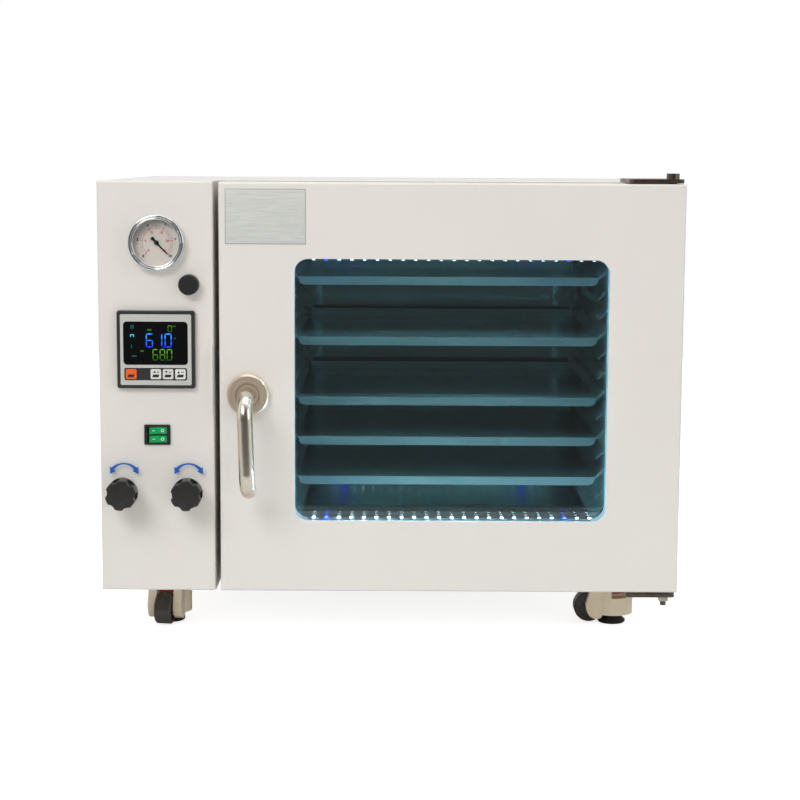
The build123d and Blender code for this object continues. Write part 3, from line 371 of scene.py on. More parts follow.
def stippled_fascia():
    """Silver plastic film with a fine stipple."""
    silver = linear(214, 216, 212)
    shade = Shade("stippled fascia", silver, 0.42, 0.25)
    dots = shade.cells(1500.0)
    shade.tint(dots, darker(silver, 0.86), 0.1, 0.6)
    shade.wear(dots, 0.36, 0.5)
    shade.relief(dots, 0.4, 0.05 * MM)
    return shade.material


def dial_face():
    """Matt enamel of the gauge's dial."""
    ground = linear(222, 216, 208)
    shade = Shade("dial face", ground, 0.55)
    shade.tint(shade.noise(300.0, 3.0), darker(ground, 0.96))
    shade.relief(shade.noise(1600.0, 2.0), 0.08, 0.02 * MM)
    return shade.material


def rubber(name, colour):
    """Matt rubber, a little dusty."""
    shade = Shade(name, colour, 0.7)
    shade.tint(shade.noise(90.0, 4.0), darker(colour, 0.8))
    shade.wear(shade.noise(400.0, 3.0), 0.6, 0.82)
    shade.relief(shade.noise(700.0, 4.0), 0.3, 0.1 * MM)
    return shade.material


def cast_metal(name, colour, roughness=0.38):
    """Plated or browned metal, mottled and a little rough."""
    shade = Shade(name, colour, roughness, 1.0)
    patch = shade.noise(60.0, 5.0)
    shade.tint(patch, darker(colour, 0.7))
    shade.wear(patch, roughness - 0.1, roughness + 0.14)
    shade.relief(shade.noise(500.0, 4.0), 0.2, 0.05 * MM)
    return shade.material


def printed(name, colour, roughness=0.5):
    """Ink or another flat even surface."""
    shade = Shade(name, colour, roughness)
    shade.tint(shade.noise(900.0, 2.0), darker(colour, 0.9))
    return shade.material


def rocker_plastic():
    """Clear green plastic with a lamp behind it."""
    green = linear(10, 150, 84)
    shade = Shade("lit green rocker", green, 0.22, coat_weight=0.4)
    shade.tint(shade.noise(220.0, 3.0), darker(green, 0.55))
    shade.glow(linear(0, 168, 84), 0.28)
    return shade.material


def slot_materials(look):
    """The finish of each of the record's material slots."""
    return {
        "painted_steel": powder_coat(look),
        "liner_steel": powder_coat(look),
        "polished_steel": polished("polished shelf steel", look.mirror, 0.08, 0.16, 0.72),
        "hinge_steel": cast_metal("browned hinge steel", linear(112, 98, 88)),
        "brushed_steel": brushed("brushed cam steel", look.cam, (8.0, 900.0, 900.0), 0.09, 0.17,
                                 0.03),
        "heater_foil": brushed("heater foil", linear(196, 150, 96), (60.0, 300.0, 60.0), 0.3, 0.5),
        "mineral_wool": fibrous("mineral wool", linear(206, 190, 140)),
        "silicone": rubber("pale silicone", linear(196, 202, 200)),
        "chrome": polished("chrome", linear(226, 228, 230), 0.04, 0.1),
        "dial_white": dial_face(),
        "clear_glass": clear_glass("window glass", look.glass),
        "black_plastic": moulded("black plastic", look.plastic),
        "knob_plastic": moulded("knob plastic", linear(34, 33, 32), 0.5, 700.0, 0.3),
        "fascia_grey": moulded("controller body", linear(46, 46, 48), 0.4),
        "display_black": printed("display black", linear(6, 7, 9), 0.12),
        "key_orange": moulded("orange key", linear(240, 100, 34), 0.4),
        "key_white": moulded("white key", linear(226, 226, 224), 0.4),
        "rocker_green": rocker_plastic(),
        "led_white": printed("lamp board", linear(70, 82, 92), 0.4),
        "nickel_brass": cast_metal("nickelled brass", linear(196, 188, 168), 0.26),
        "zinc_steel": cast_metal("zinc steel", linear(186, 186, 182), 0.36),
        "caster_ivory": moulded("caster ivory", look.ivory, 0.42, 600.0),
        "caster_black": moulded("wheel tread", linear(62, 58, 54), 0.36, 500.0),
        "pad_rubber": rubber("pad rubber", linear(38, 38, 38)),
        "adjuster_red": moulded("adjuster red", linear(168, 40, 34), 0.4),
    }


def node_materials(look):
    """Nodes whose finish differs from the others of their slot."""
    return {
        "chamber": polished("chamber wall steel", look.mirror, 0.03, 0.07, 0.92),
        # The window frame glows: painted light standing in for the door lamps' light falling on
        # it.
        "window_frame": lit("window frame painted glow", linear(150, 172, 176), linear(128, 172, 178),
                            0.3, 0.35),
        "gauge_lens": clear_glass("lens glass", linear(250, 250, 250)),
        "handle_rosette": turned_steel("turned rosette steel", look.rosette,
                                       middle("handle_rosette")),
        "door_lever": brushed("brushed lever steel", look.lever, (900.0, 900.0, 8.0), 0.17,
                              0.28),
    }


# ---------------------------------------------------------------- modelling steps
def begin():
    """Leaves edit mode and deselects everything, so that an operator acts on the new piece."""
    if bpy.context.object and bpy.context.object.mode != "OBJECT":
        bpy.ops.object.mode_set(mode="OBJECT")
    bpy.ops.object.select_all(action="DESELECT")


def named(name):
    """The active object under its piece name, with its place put into its mesh."""
    piece = bpy.context.object
    piece.name = name
    piece.data.name = name
    bpy.ops.object.transform_apply(location=True, rotation=True, scale=True)
    return piece


TOWARDS_FRONT = (math.pi / 2, 0.0, 0.0)
UPRIGHT = (0.0, 0.0, 0.0)
ALONG_Y, ALONG_Z = 1, 2
WELD = 1e-5                     # places nearer than this are one place


def add_box(name, centre, size):
    begin()
    bpy.ops.mesh.primitive_cube_add(size=1.0, location=centre)
    bpy.context.object.scale = size
    return named(name)


def add_disc(name, centre, radius, depth, sides=48, turn=TOWARDS_FRONT):
    begin()
    bpy.ops.mesh.primitive_cylinder_add(vertices=sides, radius=radius, depth=depth,
                                        location=centre, rotation=turn)
    return named(name)


def choose(piece, kind, test):
    """In edit mode, selects the faces or edges of the piece that pass a test, and no others."""
    begin()
    bpy.context.view_layer.objects.active = piece
    piece.select_set(True)
    bpy.ops.object.mode_set(mode="EDIT")
    bpy.ops.mesh.select_mode(type=kind)
    bpy.ops.mesh.select_all(action="DESELECT")
    mesh = bmesh.from_edit_mesh(piece.data)
    for item in (mesh.faces if kind == "FACE" else mesh.edges):
        if test(item):
            item.select = True
    mesh.select_flush_mode()
    bmesh.update_edit_mesh(piece.data)


def done():
    bpy.ops.object.mode_set(mode="OBJECT")


def looks(direction):
    """A face test: its normal points this way."""
    way = Vector(direction)
    return lambda face: face.normal.dot(way) > 0.9


def runs(direction):
    """An edge test: it runs along this axis."""
    way = Vector(direction)
    return lambda edge: abs((edge.verts[1].co - edge.verts[0].co).normalized().dot(way)) > 0.99


def bevel(piece, test, width, segments=4):
    """Rounds the edges of a piece that pass a test."""
    choose(piece, "EDGE", test)
    bpy.ops.mesh.bevel(offset=width, segments=segments, affect="EDGES")
    done()


def rim_of(level, axis=ALONG_Y):
    """An edge test: both ends lie in one plane across an axis."""
    return lambda edge: all(abs(vert.co[axis] - level) < WELD for vert in edge.verts)


def copy_piece(piece, matrix):
    """A copy with a mesh of its own, moved by a matrix."""
    twin = piece.copy()
    twin.data = piece.data.copy()
    twin.data.transform(matrix)
    bpy.context.scene.collection.objects.link(twin)
    return twin


def join(name, pieces):
    begin()
    for piece in pieces:
        piece.select_set(True)
    bpy.context.view_layer.objects.active = pieces[0]
    bpy.ops.object.join()
    pieces[0].name = name
    pieces[0].data.name = name
    return pieces[0]


def apply(piece, modifier):
    begin()
    bpy.context.view_layer.objects.active = piece
    piece.select_set(True)
    bpy.ops.object.modifier_apply(modifier=modifier.name)


def cut(piece, cutter):
    """Cuts one piece out of another and deletes the cutter."""
    knife = piece.modifiers.new("cut", "BOOLEAN")
    knife.operation = "DIFFERENCE"
    knife.solver = "EXACT"
    knife.object = cutter
    apply(piece, knife)
    bpy.data.objects.remove(cutter)


def ready(piece, material, body, smooth=35.0):
    """Gives a finished piece its material and the body that it rides on."""
    begin()
    bpy.context.view_layer.objects.active = piece
    piece.select_set(True)
    bpy.ops.object.shade_smooth_by_angle(angle=math.radians(smooth))
    if material:
        piece.data.materials.clear()
        piece.data.materials.append(material)
    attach(piece, body)
    return piece


def facing_matrix(x, y, z, turn=0.0):
    """Carries a flat mark from the XY plane to the front, turned clockwise as seen from there."""
    return (Matrix.Translation((x, y, z)) @ Matrix.Rotation(turn, 4, "Y")
            @ Matrix.Rotation(math.pi / 2, 4, "X"))


def flat_outline(name, outlines, depth):
    """A thin mark whose outlines, given in X and Y, are filled and thickened."""
    begin()
    curve = bpy.data.curves.new(name, "CURVE")
    curve.dimensions = "2D"
    curve.fill_mode = "BOTH"
    curve.extrude = depth / 2
    for outline in outlines:
        spline = curve.splines.new("POLY")
        spline.points.add(len(outline) - 1)
        for point, (across, up) in zip(spline.points, outline):
            point.co = (across, up, 0.0, 1.0)
        spline.use_cyclic_u = True
    mark = bpy.data.objects.new(name, curve)
    bpy.context.scene.collection.objects.link(mark)
    bpy.context.view_layer.objects.active = mark
    mark.select_set(True)
    bpy.ops.object.convert(target="MESH")
    return bpy.context.object


def number(name, text, size, depth, weight=0.0):
    """A plain number as a thin mesh about the origin; weight thickens its strokes."""
    begin()
    bpy.ops.object.text_add()
    mark = bpy.context.object
    mark.data.body = text
    mark.data.size = size
    mark.data.extrude = depth / 2
    mark.data.offset = weight
    mark.data.align_x = "CENTER"
    mark.data.align_y = "CENTER"
    bpy.ops.object.convert(target="MESH")
    bpy.context.object.name = name
    return bpy.context.object


def place(piece, matrix):
    """Moves a piece by its mesh, so that its object stays at the origin."""
    piece.data.transform(matrix)
    piece.data.update()
    return piece


# ---------------------------------------------------------------- pieces, one operator a group
class OVEN_OT_finishes(bpy.types.Operator):
    """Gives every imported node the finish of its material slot"""
    bl_idname = "oven.finishes"
    bl_label = "Finishes"

    def execute(self, context):
        look = finish_of(context)
        materials = slot_materials(look)
        for part in frame["record"]["subparts"]:
            node = frame["nodes"][part["node"]]
            node.data.materials.clear()
            node.data.materials.append(materials[part["material_slot"]])
        for name, material in node_materials(look).items():
            frame["nodes"][name].data.materials[0] = material
        return {"FINISHED"}


class OVEN_OT_nameplate(bpy.types.Operator):
    """Bare nameplate of brushed aluminium at the upper left of the door"""
    bl_idname = "oven.nameplate"
    bl_label = "Nameplate"

    def execute(self, context):
        trim = trim_of(context)
        thickness = 0.8 * MM
        centre = Vector((-153.5 * MM, DOOR_Y - thickness / 2, CABINET_LOW.z + 467.7 * MM))
        plate = add_box("nameplate", centre, (trim.plate_width, thickness, trim.plate_height))
        silver = brushed("nameplate metal", linear(222, 225, 221), (40.0, 400.0, 500.0), 0.5, 0.6)
        silver.node_tree.nodes["Principled BSDF"].inputs["Metallic"].default_value = 0.3
        plate.data.materials.append(silver)
        plate.data.materials.append(printed("nameplate edge", linear(176, 181, 178)))
        choose(plate, "FACE", looks((0, -1, 0)))
        plate.active_material_index = 1
        bpy.ops.object.material_slot_assign()
        bpy.ops.mesh.inset(thickness=1.2 * MM)
        plate.active_material_index = 0
        bpy.ops.object.material_slot_assign()
        bpy.ops.transform.translate(value=(0, -0.12 * MM, 0))
        done()
        bevel(plate, rim_of(DOOR_Y - thickness), 0.15 * MM, 2)
        ready(plate, None, "door")
        return {"FINISHED"}


class OVEN_OT_gauge(bpy.types.Operator):
    """Bezel, scale, numbers and pointer of the vacuum gauge"""
    bl_idname = "oven.gauge"
    bl_label = "Gauge"

    def execute(self, context):
        trim = trim_of(context)
        depth = trim.print_depth
        centre = middle("gauge_dial")
        face_y = DIAL_Y - depth / 2
        black = printed("dial black", linear(30, 30, 32))
        red = printed("dial red", linear(226, 64, 84))
        scale_marks("dial_scale", centre, face_y, depth, 20.6 * MM, 2.4 * MM, 1.3 * MM,
                    trim.dial_marks, black, numbers=("0", "2", "4", "6", "8", "10"),
                    number_radius=23.4 * MM, number_size=4.6 * MM)
        scale_marks("dial_inner_scale", centre, face_y, depth, 17.7 * MM, 1.6 * MM, 0.9 * MM, 30,
                    red, numbers=("0", "5", "10", "15", "20", "25"), number_radius=13.6 * MM,
                    number_size=3.9 * MM, arc=True)
        bezel(centre)
        pointer(centre)
        return {"FINISHED"}


START = math.radians(225)       # the scale runs clockwise from the lower left
SWEEP = math.radians(270)
BOLD = 0.045                    # how far a number's strokes grow, as a share of its size
ARC_INNER = 0.978               # inner edge of the arc, as a share of its radius
LONG_MARK = 0.7 * MM
FINE_MARK = 0.3 * MM


def scale_marks(name, centre, face_y, depth, radius, long, short, count, material, numbers,
                number_radius, number_size, arc=False):
    """Marks and numbers of one dial scale, and the arc that they stand on if it has one."""
    mark = add_box(name + "_mark", (0, 0, 0), (1.0, 1.0, 1.0))
    marks = []
    every = count // (2 * (len(numbers) - 1)) or 1
    for step in range(count + 1):
        turn = START - SWEEP * step / count
        length = long if step % every == 0 else short
        width = LONG_MARK if step % (2 * every) == 0 else FINE_MARK
        shape = Matrix.Diagonal((length, depth, width, 1.0))
        reach = Matrix.Translation((radius - length / 2, 0, 0))
        where = Matrix.Translation((centre.x, face_y, centre.z))
        marks.append(copy_piece(mark, where @ Matrix.Rotation(-turn, 4, "Y") @ reach @ shape))
    bpy.data.objects.remove(mark)
    for order, text in enumerate(numbers):
        turn = START - SWEEP * order / (len(numbers) - 1)
        figure = number(name + "_number", text, number_size, depth, BOLD * number_size)
        x = centre.x + number_radius * math.cos(turn)
        z = centre.z + number_radius * math.sin(turn)
        marks.append(place(figure, facing_matrix(x, face_y, z)))
    if arc:
        steps = 60
        outer = [(radius * math.cos(START - SWEEP * k / steps),
                  radius * math.sin(START - SWEEP * k / steps)) for k in range(steps + 1)]
        inner = [(x * ARC_INNER, z * ARC_INNER) for x, z in reversed(outer)]
        band = flat_outline(name + "_arc", [outer + inner], depth)
        marks.append(place(band, facing_matrix(centre.x, face_y, centre.z)))
    ready(join(name, marks), material, "cabinet")


def spun_ring(name, centre, profile, steps=96):
    """A ring turned about a line towards the front; profile gives (radius, Y) pairs."""
    begin()
    mesh = bpy.data.meshes.new(name)
    mesh.from_pydata([(radius, y, 0.0) for radius, y in profile],
                     [(k, k + 1) for k in range(len(profile) - 1)], [])
    ring = bpy.data.objects.new(name, mesh)
    bpy.context.scene.collection.objects.link(ring)
    bpy.context.view_layer.objects.active = ring
    ring.select_set(True)
    bpy.ops.object.mode_set(mode="EDIT")
    bpy.ops.mesh.select_all(action="SELECT")
    bpy.ops.mesh.spin(steps=steps, angle=math.tau, center=(0, 0, 0), axis=(0, 1, 0))
    bpy.ops.mesh.select_all(action="SELECT")
    bpy.ops.mesh.remove_doubles(threshold=1e-6)
    bpy.ops.mesh.normals_make_consistent(inside=False)
    done()
    return place(ring, Matrix.Translation((centre.x, 0, centre.z)))


def bezel(centre):
    """Chrome ring in two rolls round the gauge."""
    outer = (high("gauge_case").x - low("gauge_case").x) / 2
    front = low("gauge_case").y
    profile = []
    for radius, roll, y in ((outer - 1.9 * MM, 1.9 * MM, front + 1.9 * MM),
                            (outer - 4.6 * MM, 1.3 * MM, front + 1.2 * MM)):
        for step in range(9):
            turn = math.pi * step / 8
            profile.append((radius + roll * math.cos(turn), y - roll * math.sin(turn)))
    profile.append((profile[-1][0], front + 5 * MM))
    profile.append((outer, front + 5 * MM))
    profile.append(profile[0])
    ring = spun_ring("gauge_bezel", centre, profile)
    ready(ring, polished("bezel chrome", linear(226, 228, 230), 0.04, 0.1), "cabinet")


def pointer(centre):
    """Black pointer with a fat tail and a domed hub."""
    reach = 20.0 * MM
    outline = [(-8.8 * MM, 0.0), (-8.5 * MM, 1.5 * MM), (-7.6 * MM, 2.4 * MM),
               (-6.6 * MM, 2.3 * MM), (-3.0 * MM, 1.1 * MM), (0.0, 1.1 * MM),
               (reach - 3 * MM, 0.7 * MM), (reach, 0.0), (reach - 3 * MM, -0.7 * MM),
               (0.0, -1.1 * MM), (-3.0 * MM, -1.1 * MM), (-6.6 * MM, -2.3 * MM),
               (-7.6 * MM, -2.4 * MM), (-8.5 * MM, -1.5 * MM)]
    needle = flat_outline("needle", [outline], 0.5 * MM)
    y = low("gauge_pointer").y + 0.4 * MM
    place(needle, facing_matrix(centre.x, y, centre.z, math.radians(47)))
    hub = add_disc("hub", (centre.x, y - 0.3 * MM, centre.z), 2.9 * MM, 1.4 * MM, 32)
    bevel(hub, rim_of(y - 1.0 * MM), 0.5 * MM, 3)
    whole = join("pointer", [needle, hub])
    ready(whole, moulded("pointer black", linear(20, 20, 22), 0.35),
          "gauge_pointer")
    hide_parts("gauge_pointer")


SEGMENTS = {"0": "abcdef", "1": "bc", "2": "abged", "3": "abgcd", "4": "fgbc", "5": "afgcd",
            "6": "afgedc", "7": "abc", "8": "abcdefg", "9": "abcdfg"}


def readout(name, text, left, top, width, height, y, material):
    """A row of seven-segment figures on the screen; a stop follows a figure as a small square."""
    bar = add_box(name + "_bar", (0, 0, 0), (1.0, 0.3 * MM, 1.0))
    bevel(bar, runs((0, 1, 0)), 0.42, 1)
    stroke = width * 0.17
    long = height / 2 - stroke * 0.35
    wide = width - stroke * 0.7
    spots = {"a": (0, 1, True), "g": (0, 0, True), "d": (0, -1, True), "f": (-1, 0.5, False),
             "b": (1, 0.5, False), "e": (-1, -0.5, False), "c": (1, -0.5, False)}
    bars = []
    x = left
    for character in text:
        if character == ".":
            stop = Matrix.Translation((x - width * 0.12, y, top - height))
            bars.append(copy_piece(bar, stop @ Matrix.Diagonal((stroke, 1, stroke, 1))))
            continue
        for segment in SEGMENTS[character]:
            side, level, flat = spots[segment]
            where = Matrix.Translation((x + width / 2 + side * (width - stroke) / 2, y,
                                        top - height / 2 + level * (height - stroke) / 2))
            size = (wide, 1, stroke, 1) if flat else (stroke, 1, long, 1)
            bars.append(copy_piece(bar, where @ Matrix.Diagonal(size)))
        x += width * 1.3
    bpy.data.objects.remove(bar)
    return ready(join(name, bars), material, "cabinet")


class OVEN_OT_controller(bpy.types.Operator):
    """Fascia, readouts and key symbols of the controller"""
    bl_idname = "oven.controller"
    bl_label = "Controller"

    def execute(self, context):
        look = finish_of(context)
        fascia(context)
        screen_low = low("controller_screen")
        screen_high = high("controller_screen")
        y = screen_low.y - 0.05 * MM
        centre = (screen_low + screen_high) / 2
        top = centre.z + 12.2 * MM
        blue = figure_light("blue readout", look.readout_blue, linear(18, 44, 235), top,
                            top - 17.5 * MM, 1.5)
        readout("reading", "61.0", centre.x - 12.0 * MM, top, 8.9 * MM, 17.5 * MM, y, blue)
        top = centre.z - 7.2 * MM
        green = figure_light("green readout", look.readout_green, linear(14, 84, 8), top,
                             top - 14 * MM, 1.1)
        readout("set_point", "68.0", centre.x - 3.8 * MM, top, 6.7 * MM, 14 * MM, y, green)
        top = centre.z + 22.2 * MM
        pale = figure_light("step readout", linear(110, 170, 20), linear(20, 90, 10), top,
                            top - 8.2 * MM, 0.9)
        readout("program_step", "0", centre.x + 15.1 * MM, top, 5.2 * MM, 8.2 * MM, y, pale)
        screen_marks(centre, y)
        key_symbols(context)
        return {"FINISHED"}


def screen_marks(centre, y):
    """Small lit signs at the left and over the figures."""
    cyan = lit("bright screen marks", linear(10, 40, 50), linear(90, 195, 235), 1.0)
    teal = lit("dim screen marks", linear(5, 30, 30), linear(14, 96, 100), 0.8)
    green = lit("green screen marks", linear(10, 40, 5), linear(36, 110, 12), 0.9)
    groups = (("bright", cyan, ((-28.7, 10.4, 4.6, 1.2), (-30.6, 8.9, 1.1, 2.6),
                                (-26.8, 8.9, 1.1, 2.6))),
              ("dim", teal, ((-29.7, 20.0, 1.5, 4.6), (-27.3, 20.3, 1.5, 5.2),
                             (-29.6, -3.8, 1.1, 4.2), (-26.4, -16.0, 6.6, 1.5),
                             (23.6, 5.9, 1.4, 2.6))),
              ("green", green, ((-7.6, 16.4, 5.6, 2.2), (-16.6, -9.6, 4.4, 2.0),
                                (23.0, 21.0, 3.6, 1.3))))
    for name, material, spots in groups:
        marks = []
        for x, z, wide, tall in spots:
            mark = add_box("mark", (centre.x + x * MM, y, centre.z + z * MM),
                           (wide * MM, 0.3 * MM, tall * MM))
            bevel(mark, runs((0, 1, 0)), min(wide, tall) * 0.4 * MM, 2)
            marks.append(mark)
        ready(join(name + "_screen_marks", marks), material, "cabinet")


KEYS = ("key_set", "key_left", "key_down", "key_up")


def fascia(context):
    """Silver plate with one opening for the screen and one for the row of keys."""
    border = 4.3 * MM
    thick = 0.3 * MM
    body_low = low("controller")
    body_high = high("controller")
    size = body_high.x - body_low.x - 2 * border
    centre = Vector(((body_low.x + body_high.x) / 2, FASCIA_Y - thick / 2,
                     (body_low.z + body_high.z) / 2))
    plate = add_box("fascia_plate", centre, (size, thick, size))
    bevel(plate, runs((0, 1, 0)), 1.6 * MM, 4)
    screen = middle("controller_screen")
    room = high("controller_screen") - low("controller_screen")
    opening = add_box("opening", (screen.x, FASCIA_Y, screen.z), (room.x, 4 * MM, room.z))
    bevel(opening, runs((0, 1, 0)), 4.7 * MM, 8)
    cut(plate, opening)
    keys_low = low("key_set")
    keys_high = high("key_up")
    bar_centre = ((keys_low.x + keys_high.x) / 2, FASCIA_Y, (keys_low.z + keys_high.z) / 2)
    bar_size = (keys_high.x - keys_low.x + 3.6 * MM, 4 * MM, keys_high.z - keys_low.z + 3.0 * MM)
    slot = add_box("slot", bar_centre, bar_size)
    bevel(slot, runs((0, 1, 0)), 2.4 * MM, 6)
    cut(plate, slot)
    ready(plate, stippled_fascia(), "cabinet")


def key_symbols(context):
    """Small arrowheads on the three right keys and a bar on each key."""
    depth = 0.12 * MM
    ink = printed("key ink", linear(30, 30, 32))
    for key, turn in zip(KEYS[1:], (-90, 180, 0)):
        centre = middle(key)
        y = low(key).y - depth / 2
        size = 1.7 * MM
        head = flat_outline("head", [[(-size, -size * 0.9), (size, -size * 0.9), (0, size * 0.9)]],
                            depth)
        place(head, facing_matrix(centre.x - 2.0 * MM, y, centre.z + 2.7 * MM, math.radians(turn)))
        dash = flat_outline("dash", [[(-1.7 * MM, -0.5 * MM), (1.5 * MM, -0.5 * MM),
                                      (1.7 * MM, 0.5 * MM), (-1.5 * MM, 0.5 * MM)]], depth)
        place(dash, facing_matrix(centre.x + 2.7 * MM, y, centre.z + 2.7 * MM))
        slant = key_slant(centre, y, depth)
        ready(join(key + "_symbol", [head, dash, slant]), ink, key)
    slant = key_slant(middle("key_set"), low("key_set").y - depth / 2, depth)
    slant.name = "key_set_symbol"
    ready(slant, ink, "key_set")


def key_slant(centre, y, depth):
    """The dark slanted bar low on a key."""
    slant = flat_outline("slant", [[(-4.4 * MM, -1.7 * MM), (3.3 * MM, -1.7 * MM),
                                    (4.4 * MM, 1.7 * MM), (-3.3 * MM, 1.7 * MM)]], depth)
    return place(slant, facing_matrix(centre.x, y, centre.z - 2.0 * MM))


class OVEN_OT_switch_marks(bpy.types.Operator):
    """White bar and ring on each rocker"""
    bl_idname = "oven.switch_marks"
    bl_label = "Switch marks"

    def execute(self, context):
        white = lit("rocker white", linear(222, 240, 228), linear(200, 240, 215), 0.25)
        for rocker in ("rocker_light", "rocker_power"):
            rocker_marks(rocker, white)
        return {"FINISHED"}


def front_surface(node, x, z):
    """The place on the front surface of a node before X and Z, and the normal there."""
    target = frame["nodes"][node]
    start = Vector((x, low(node).y - 0.02, z))
    hit, spot, normal, _ = target.ray_cast(start, Vector((0, 1, 0)))
    if not hit:
        raise RuntimeError(f"nothing of {node} lies at {x:.4f}, {z:.4f}")
    return spot, normal


def rocker_marks(rocker, material):
    """A bar on the left of a rocker and a ring on its right, flat on its two slopes."""
    depth = 0.1 * MM
    centre = middle(rocker)
    marks = []
    for kind, side in (("bar", -1), ("ring", 1)):
        spot, normal = front_surface(rocker, centre.x + side * 5.4 * MM, centre.z)
        lie = Matrix.Translation(spot + normal * depth / 2) @ normal.to_track_quat(
            "Z", "Y").to_matrix().to_4x4()
        if kind == "bar":
            outline = [[(-1.5 * MM, -0.32 * MM), (1.5 * MM, -0.32 * MM), (1.5 * MM, 0.32 * MM),
                        (-1.5 * MM, 0.32 * MM)]]
        else:
            ring = [(math.cos(math.tau * k / 32), math.sin(math.tau * k / 32)) for k in range(32)]
            outline = [[(x * 1.9 * MM, z * 1.9 * MM) for x, z in ring],
                       [(x * 1.3 * MM, z * 1.3 * MM) for x, z in reversed(ring)]]
        marks.append(place(flat_outline("rocker_" + kind, outline, depth), lie))
    ready(join(rocker + "_marks", marks), material, rocker)


class OVEN_OT_knobs(bpy.types.Operator):
    """Fluted grip with a round skirt and a hub, for each valve knob"""
    bl_idname = "oven.knobs"
    bl_label = "Valve knobs"

    def execute(self, context):
        radius = trim_of(context).knob_radius
        grip_depth = 24 * MM
        flute_depth = 17 * MM
        flute_radius = 7.5 * MM
        flute_reach = radius + 4.7 * MM
        overlap = 1 * MM
        plastic = moulded("grip plastic", linear(36, 35, 34), 0.36, 700.0, 0.2)
        for knob, turn in (("pump_valve_knob", -8.0), ("inlet_valve_knob", 0.0)):
            x = middle(knob).x
            z = high(knob).z - radius
            front = low(knob).y
            rear = high(knob).y
            grip = add_disc(knob + "_grip", (x, front + grip_depth / 2, z), radius, grip_depth, 96)
            bevel(grip, rim_of(front), 1.8 * MM, 4)
            bevel(grip, rim_of(front + grip_depth), 2.0 * MM, 4)
            flutes = []
            for order in range(6):
                at = math.radians(60 * order + turn)
                middle_of = (x + flute_reach * math.cos(at),
                             front + (flute_depth - overlap) / 2,
                             z + flute_reach * math.sin(at))
                flutes.append(add_disc("flute", middle_of, flute_radius, flute_depth + overlap))
            cut(grip, join("flutes", flutes))
            hub = add_disc(knob + "_hub", (x, (front + grip_depth + rear - overlap) / 2, z),
                           9 * MM, rear - front - grip_depth + overlap)
            whole = join(knob + "_body", [grip, hub])
            ready(whole, plastic, knob)
            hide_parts(knob)
        return {"FINISHED"}


class OVEN_OT_turn_arrows(bpy.types.Operator):
    """Blue two-headed turn arrow above each valve knob"""
    bl_idname = "oven.turn_arrows"
    bl_label = "Turn arrows"

    def execute(self, context):
        trim = trim_of(context)
        ink = printed("arrow blue", finish_of(context).arrow)
        for knob in ("pump_valve_knob", "inlet_valve_knob"):
            centre = middle(knob)
            arrow = flat_outline(knob.replace("valve_knob", "turn_arrow"),
                                 [turn_arrow_outline(trim.arrow_radius)], trim.print_depth)
            place(arrow, facing_matrix(centre.x, COLUMN_Y - trim.print_depth / 2,
                                       centre.z + 14.8 * MM))
            ready(arrow, ink, "cabinet")
        return {"FINISHED"}


def turn_arrow_outline(radius):
    """An arc over the top that thickens to an arrowhead at each end."""
    half = math.radians(50)
    steps = 24
    outer = []
    inner = []
    for step in range(steps + 1):
        turn = math.pi / 2 + half - 2 * half * step / steps
        swell = 0.95 * MM + 1.25 * MM * (2 * step / steps - 1) ** 2
        outer.append(((radius + swell) * math.cos(turn), (radius + swell) * math.sin(turn)))
        inner.append(((radius - swell) * math.cos(turn), (radius - swell) * math.sin(turn)))
    head = math.radians(23)
    wide = 4.8 * MM

    def tip(side):
        base = math.pi / 2 + side * half
        point = base + side * head
        return [((radius + wide) * math.cos(base), (radius + wide) * math.sin(base)),
                (radius * math.cos(point), radius * math.sin(point)),
                ((radius - wide) * math.cos(base), (radius - wide) * math.sin(base))]

    return outer + tip(-1) + inner[::-1] + tip(1)[::-1]


class OVEN_OT_lamps(bpy.types.Operator):
    """Glowing caps on the lamps between the window panes"""
    bl_idname = "oven.lamps"
    bl_label = "Door lamps"

    def execute(self, context):
        look = finish_of(context)
        white = lit("lamp white", linear(240, 248, 250), look.lamp, look.lamp_strength)
        blue = lit("lamp blue", linear(60, 90, 220), linear(24, 52, 255), look.lamp_strength * 0.5)
        board_low = low("led_strips")
        board_high = high("led_strips")
        first_x = board_low.x + 8.3 * MM
        pitch = 15.7 * MM
        count = 23
        blue_places = (1, 20)
        y = (board_low.y + board_high.y) / 2
        rise = 2.2 * MM
        for name, z, side, tall in (("lower", board_low.z + rise, 1, 1.1 * MM),
                                    ("upper", board_high.z - rise, -1, 0.2 * MM)):
            whites = []
            blues = []
            for order in range(count):
                cap = add_box("cap", (first_x + order * pitch, y, z + side * tall / 2),
                              (3.6 * MM, 2.6 * MM, tall))
                bevel(cap, rim_of(z + side * tall, ALONG_Z), tall * 0.4, 2)
                (blues if order in blue_places else whites).append(cap)
            ready(join(name + "_lamps", whites), white, "door")
            ready(join(name + "_blue_lamps", blues), blue, "door")
        return {"FINISHED"}


def hexagon_bolt(name, centre, up, radius, thickness, washer):
    """A hexagon head over a washer, its axis along Z; up is 1 or -1."""
    flat = 1.2 * MM
    head = add_disc(name + "_head", centre + Vector((0, 0, up * (thickness / 2 + flat))),
                    radius, thickness, 6, UPRIGHT)
    seat = centre.z + up * flat
    top = centre.z + up * (thickness + flat)
    bevel(head, rim_of(top, ALONG_Z), 0.6 * MM, 2)
    disc = add_disc(name + "_washer", centre + Vector((0, 0, up * flat / 2)), washer, flat, 40,
                    UPRIGHT)
    bevel(disc, rim_of(seat, ALONG_Z), 0.3 * MM, 2)
    return join(name, [head, disc])


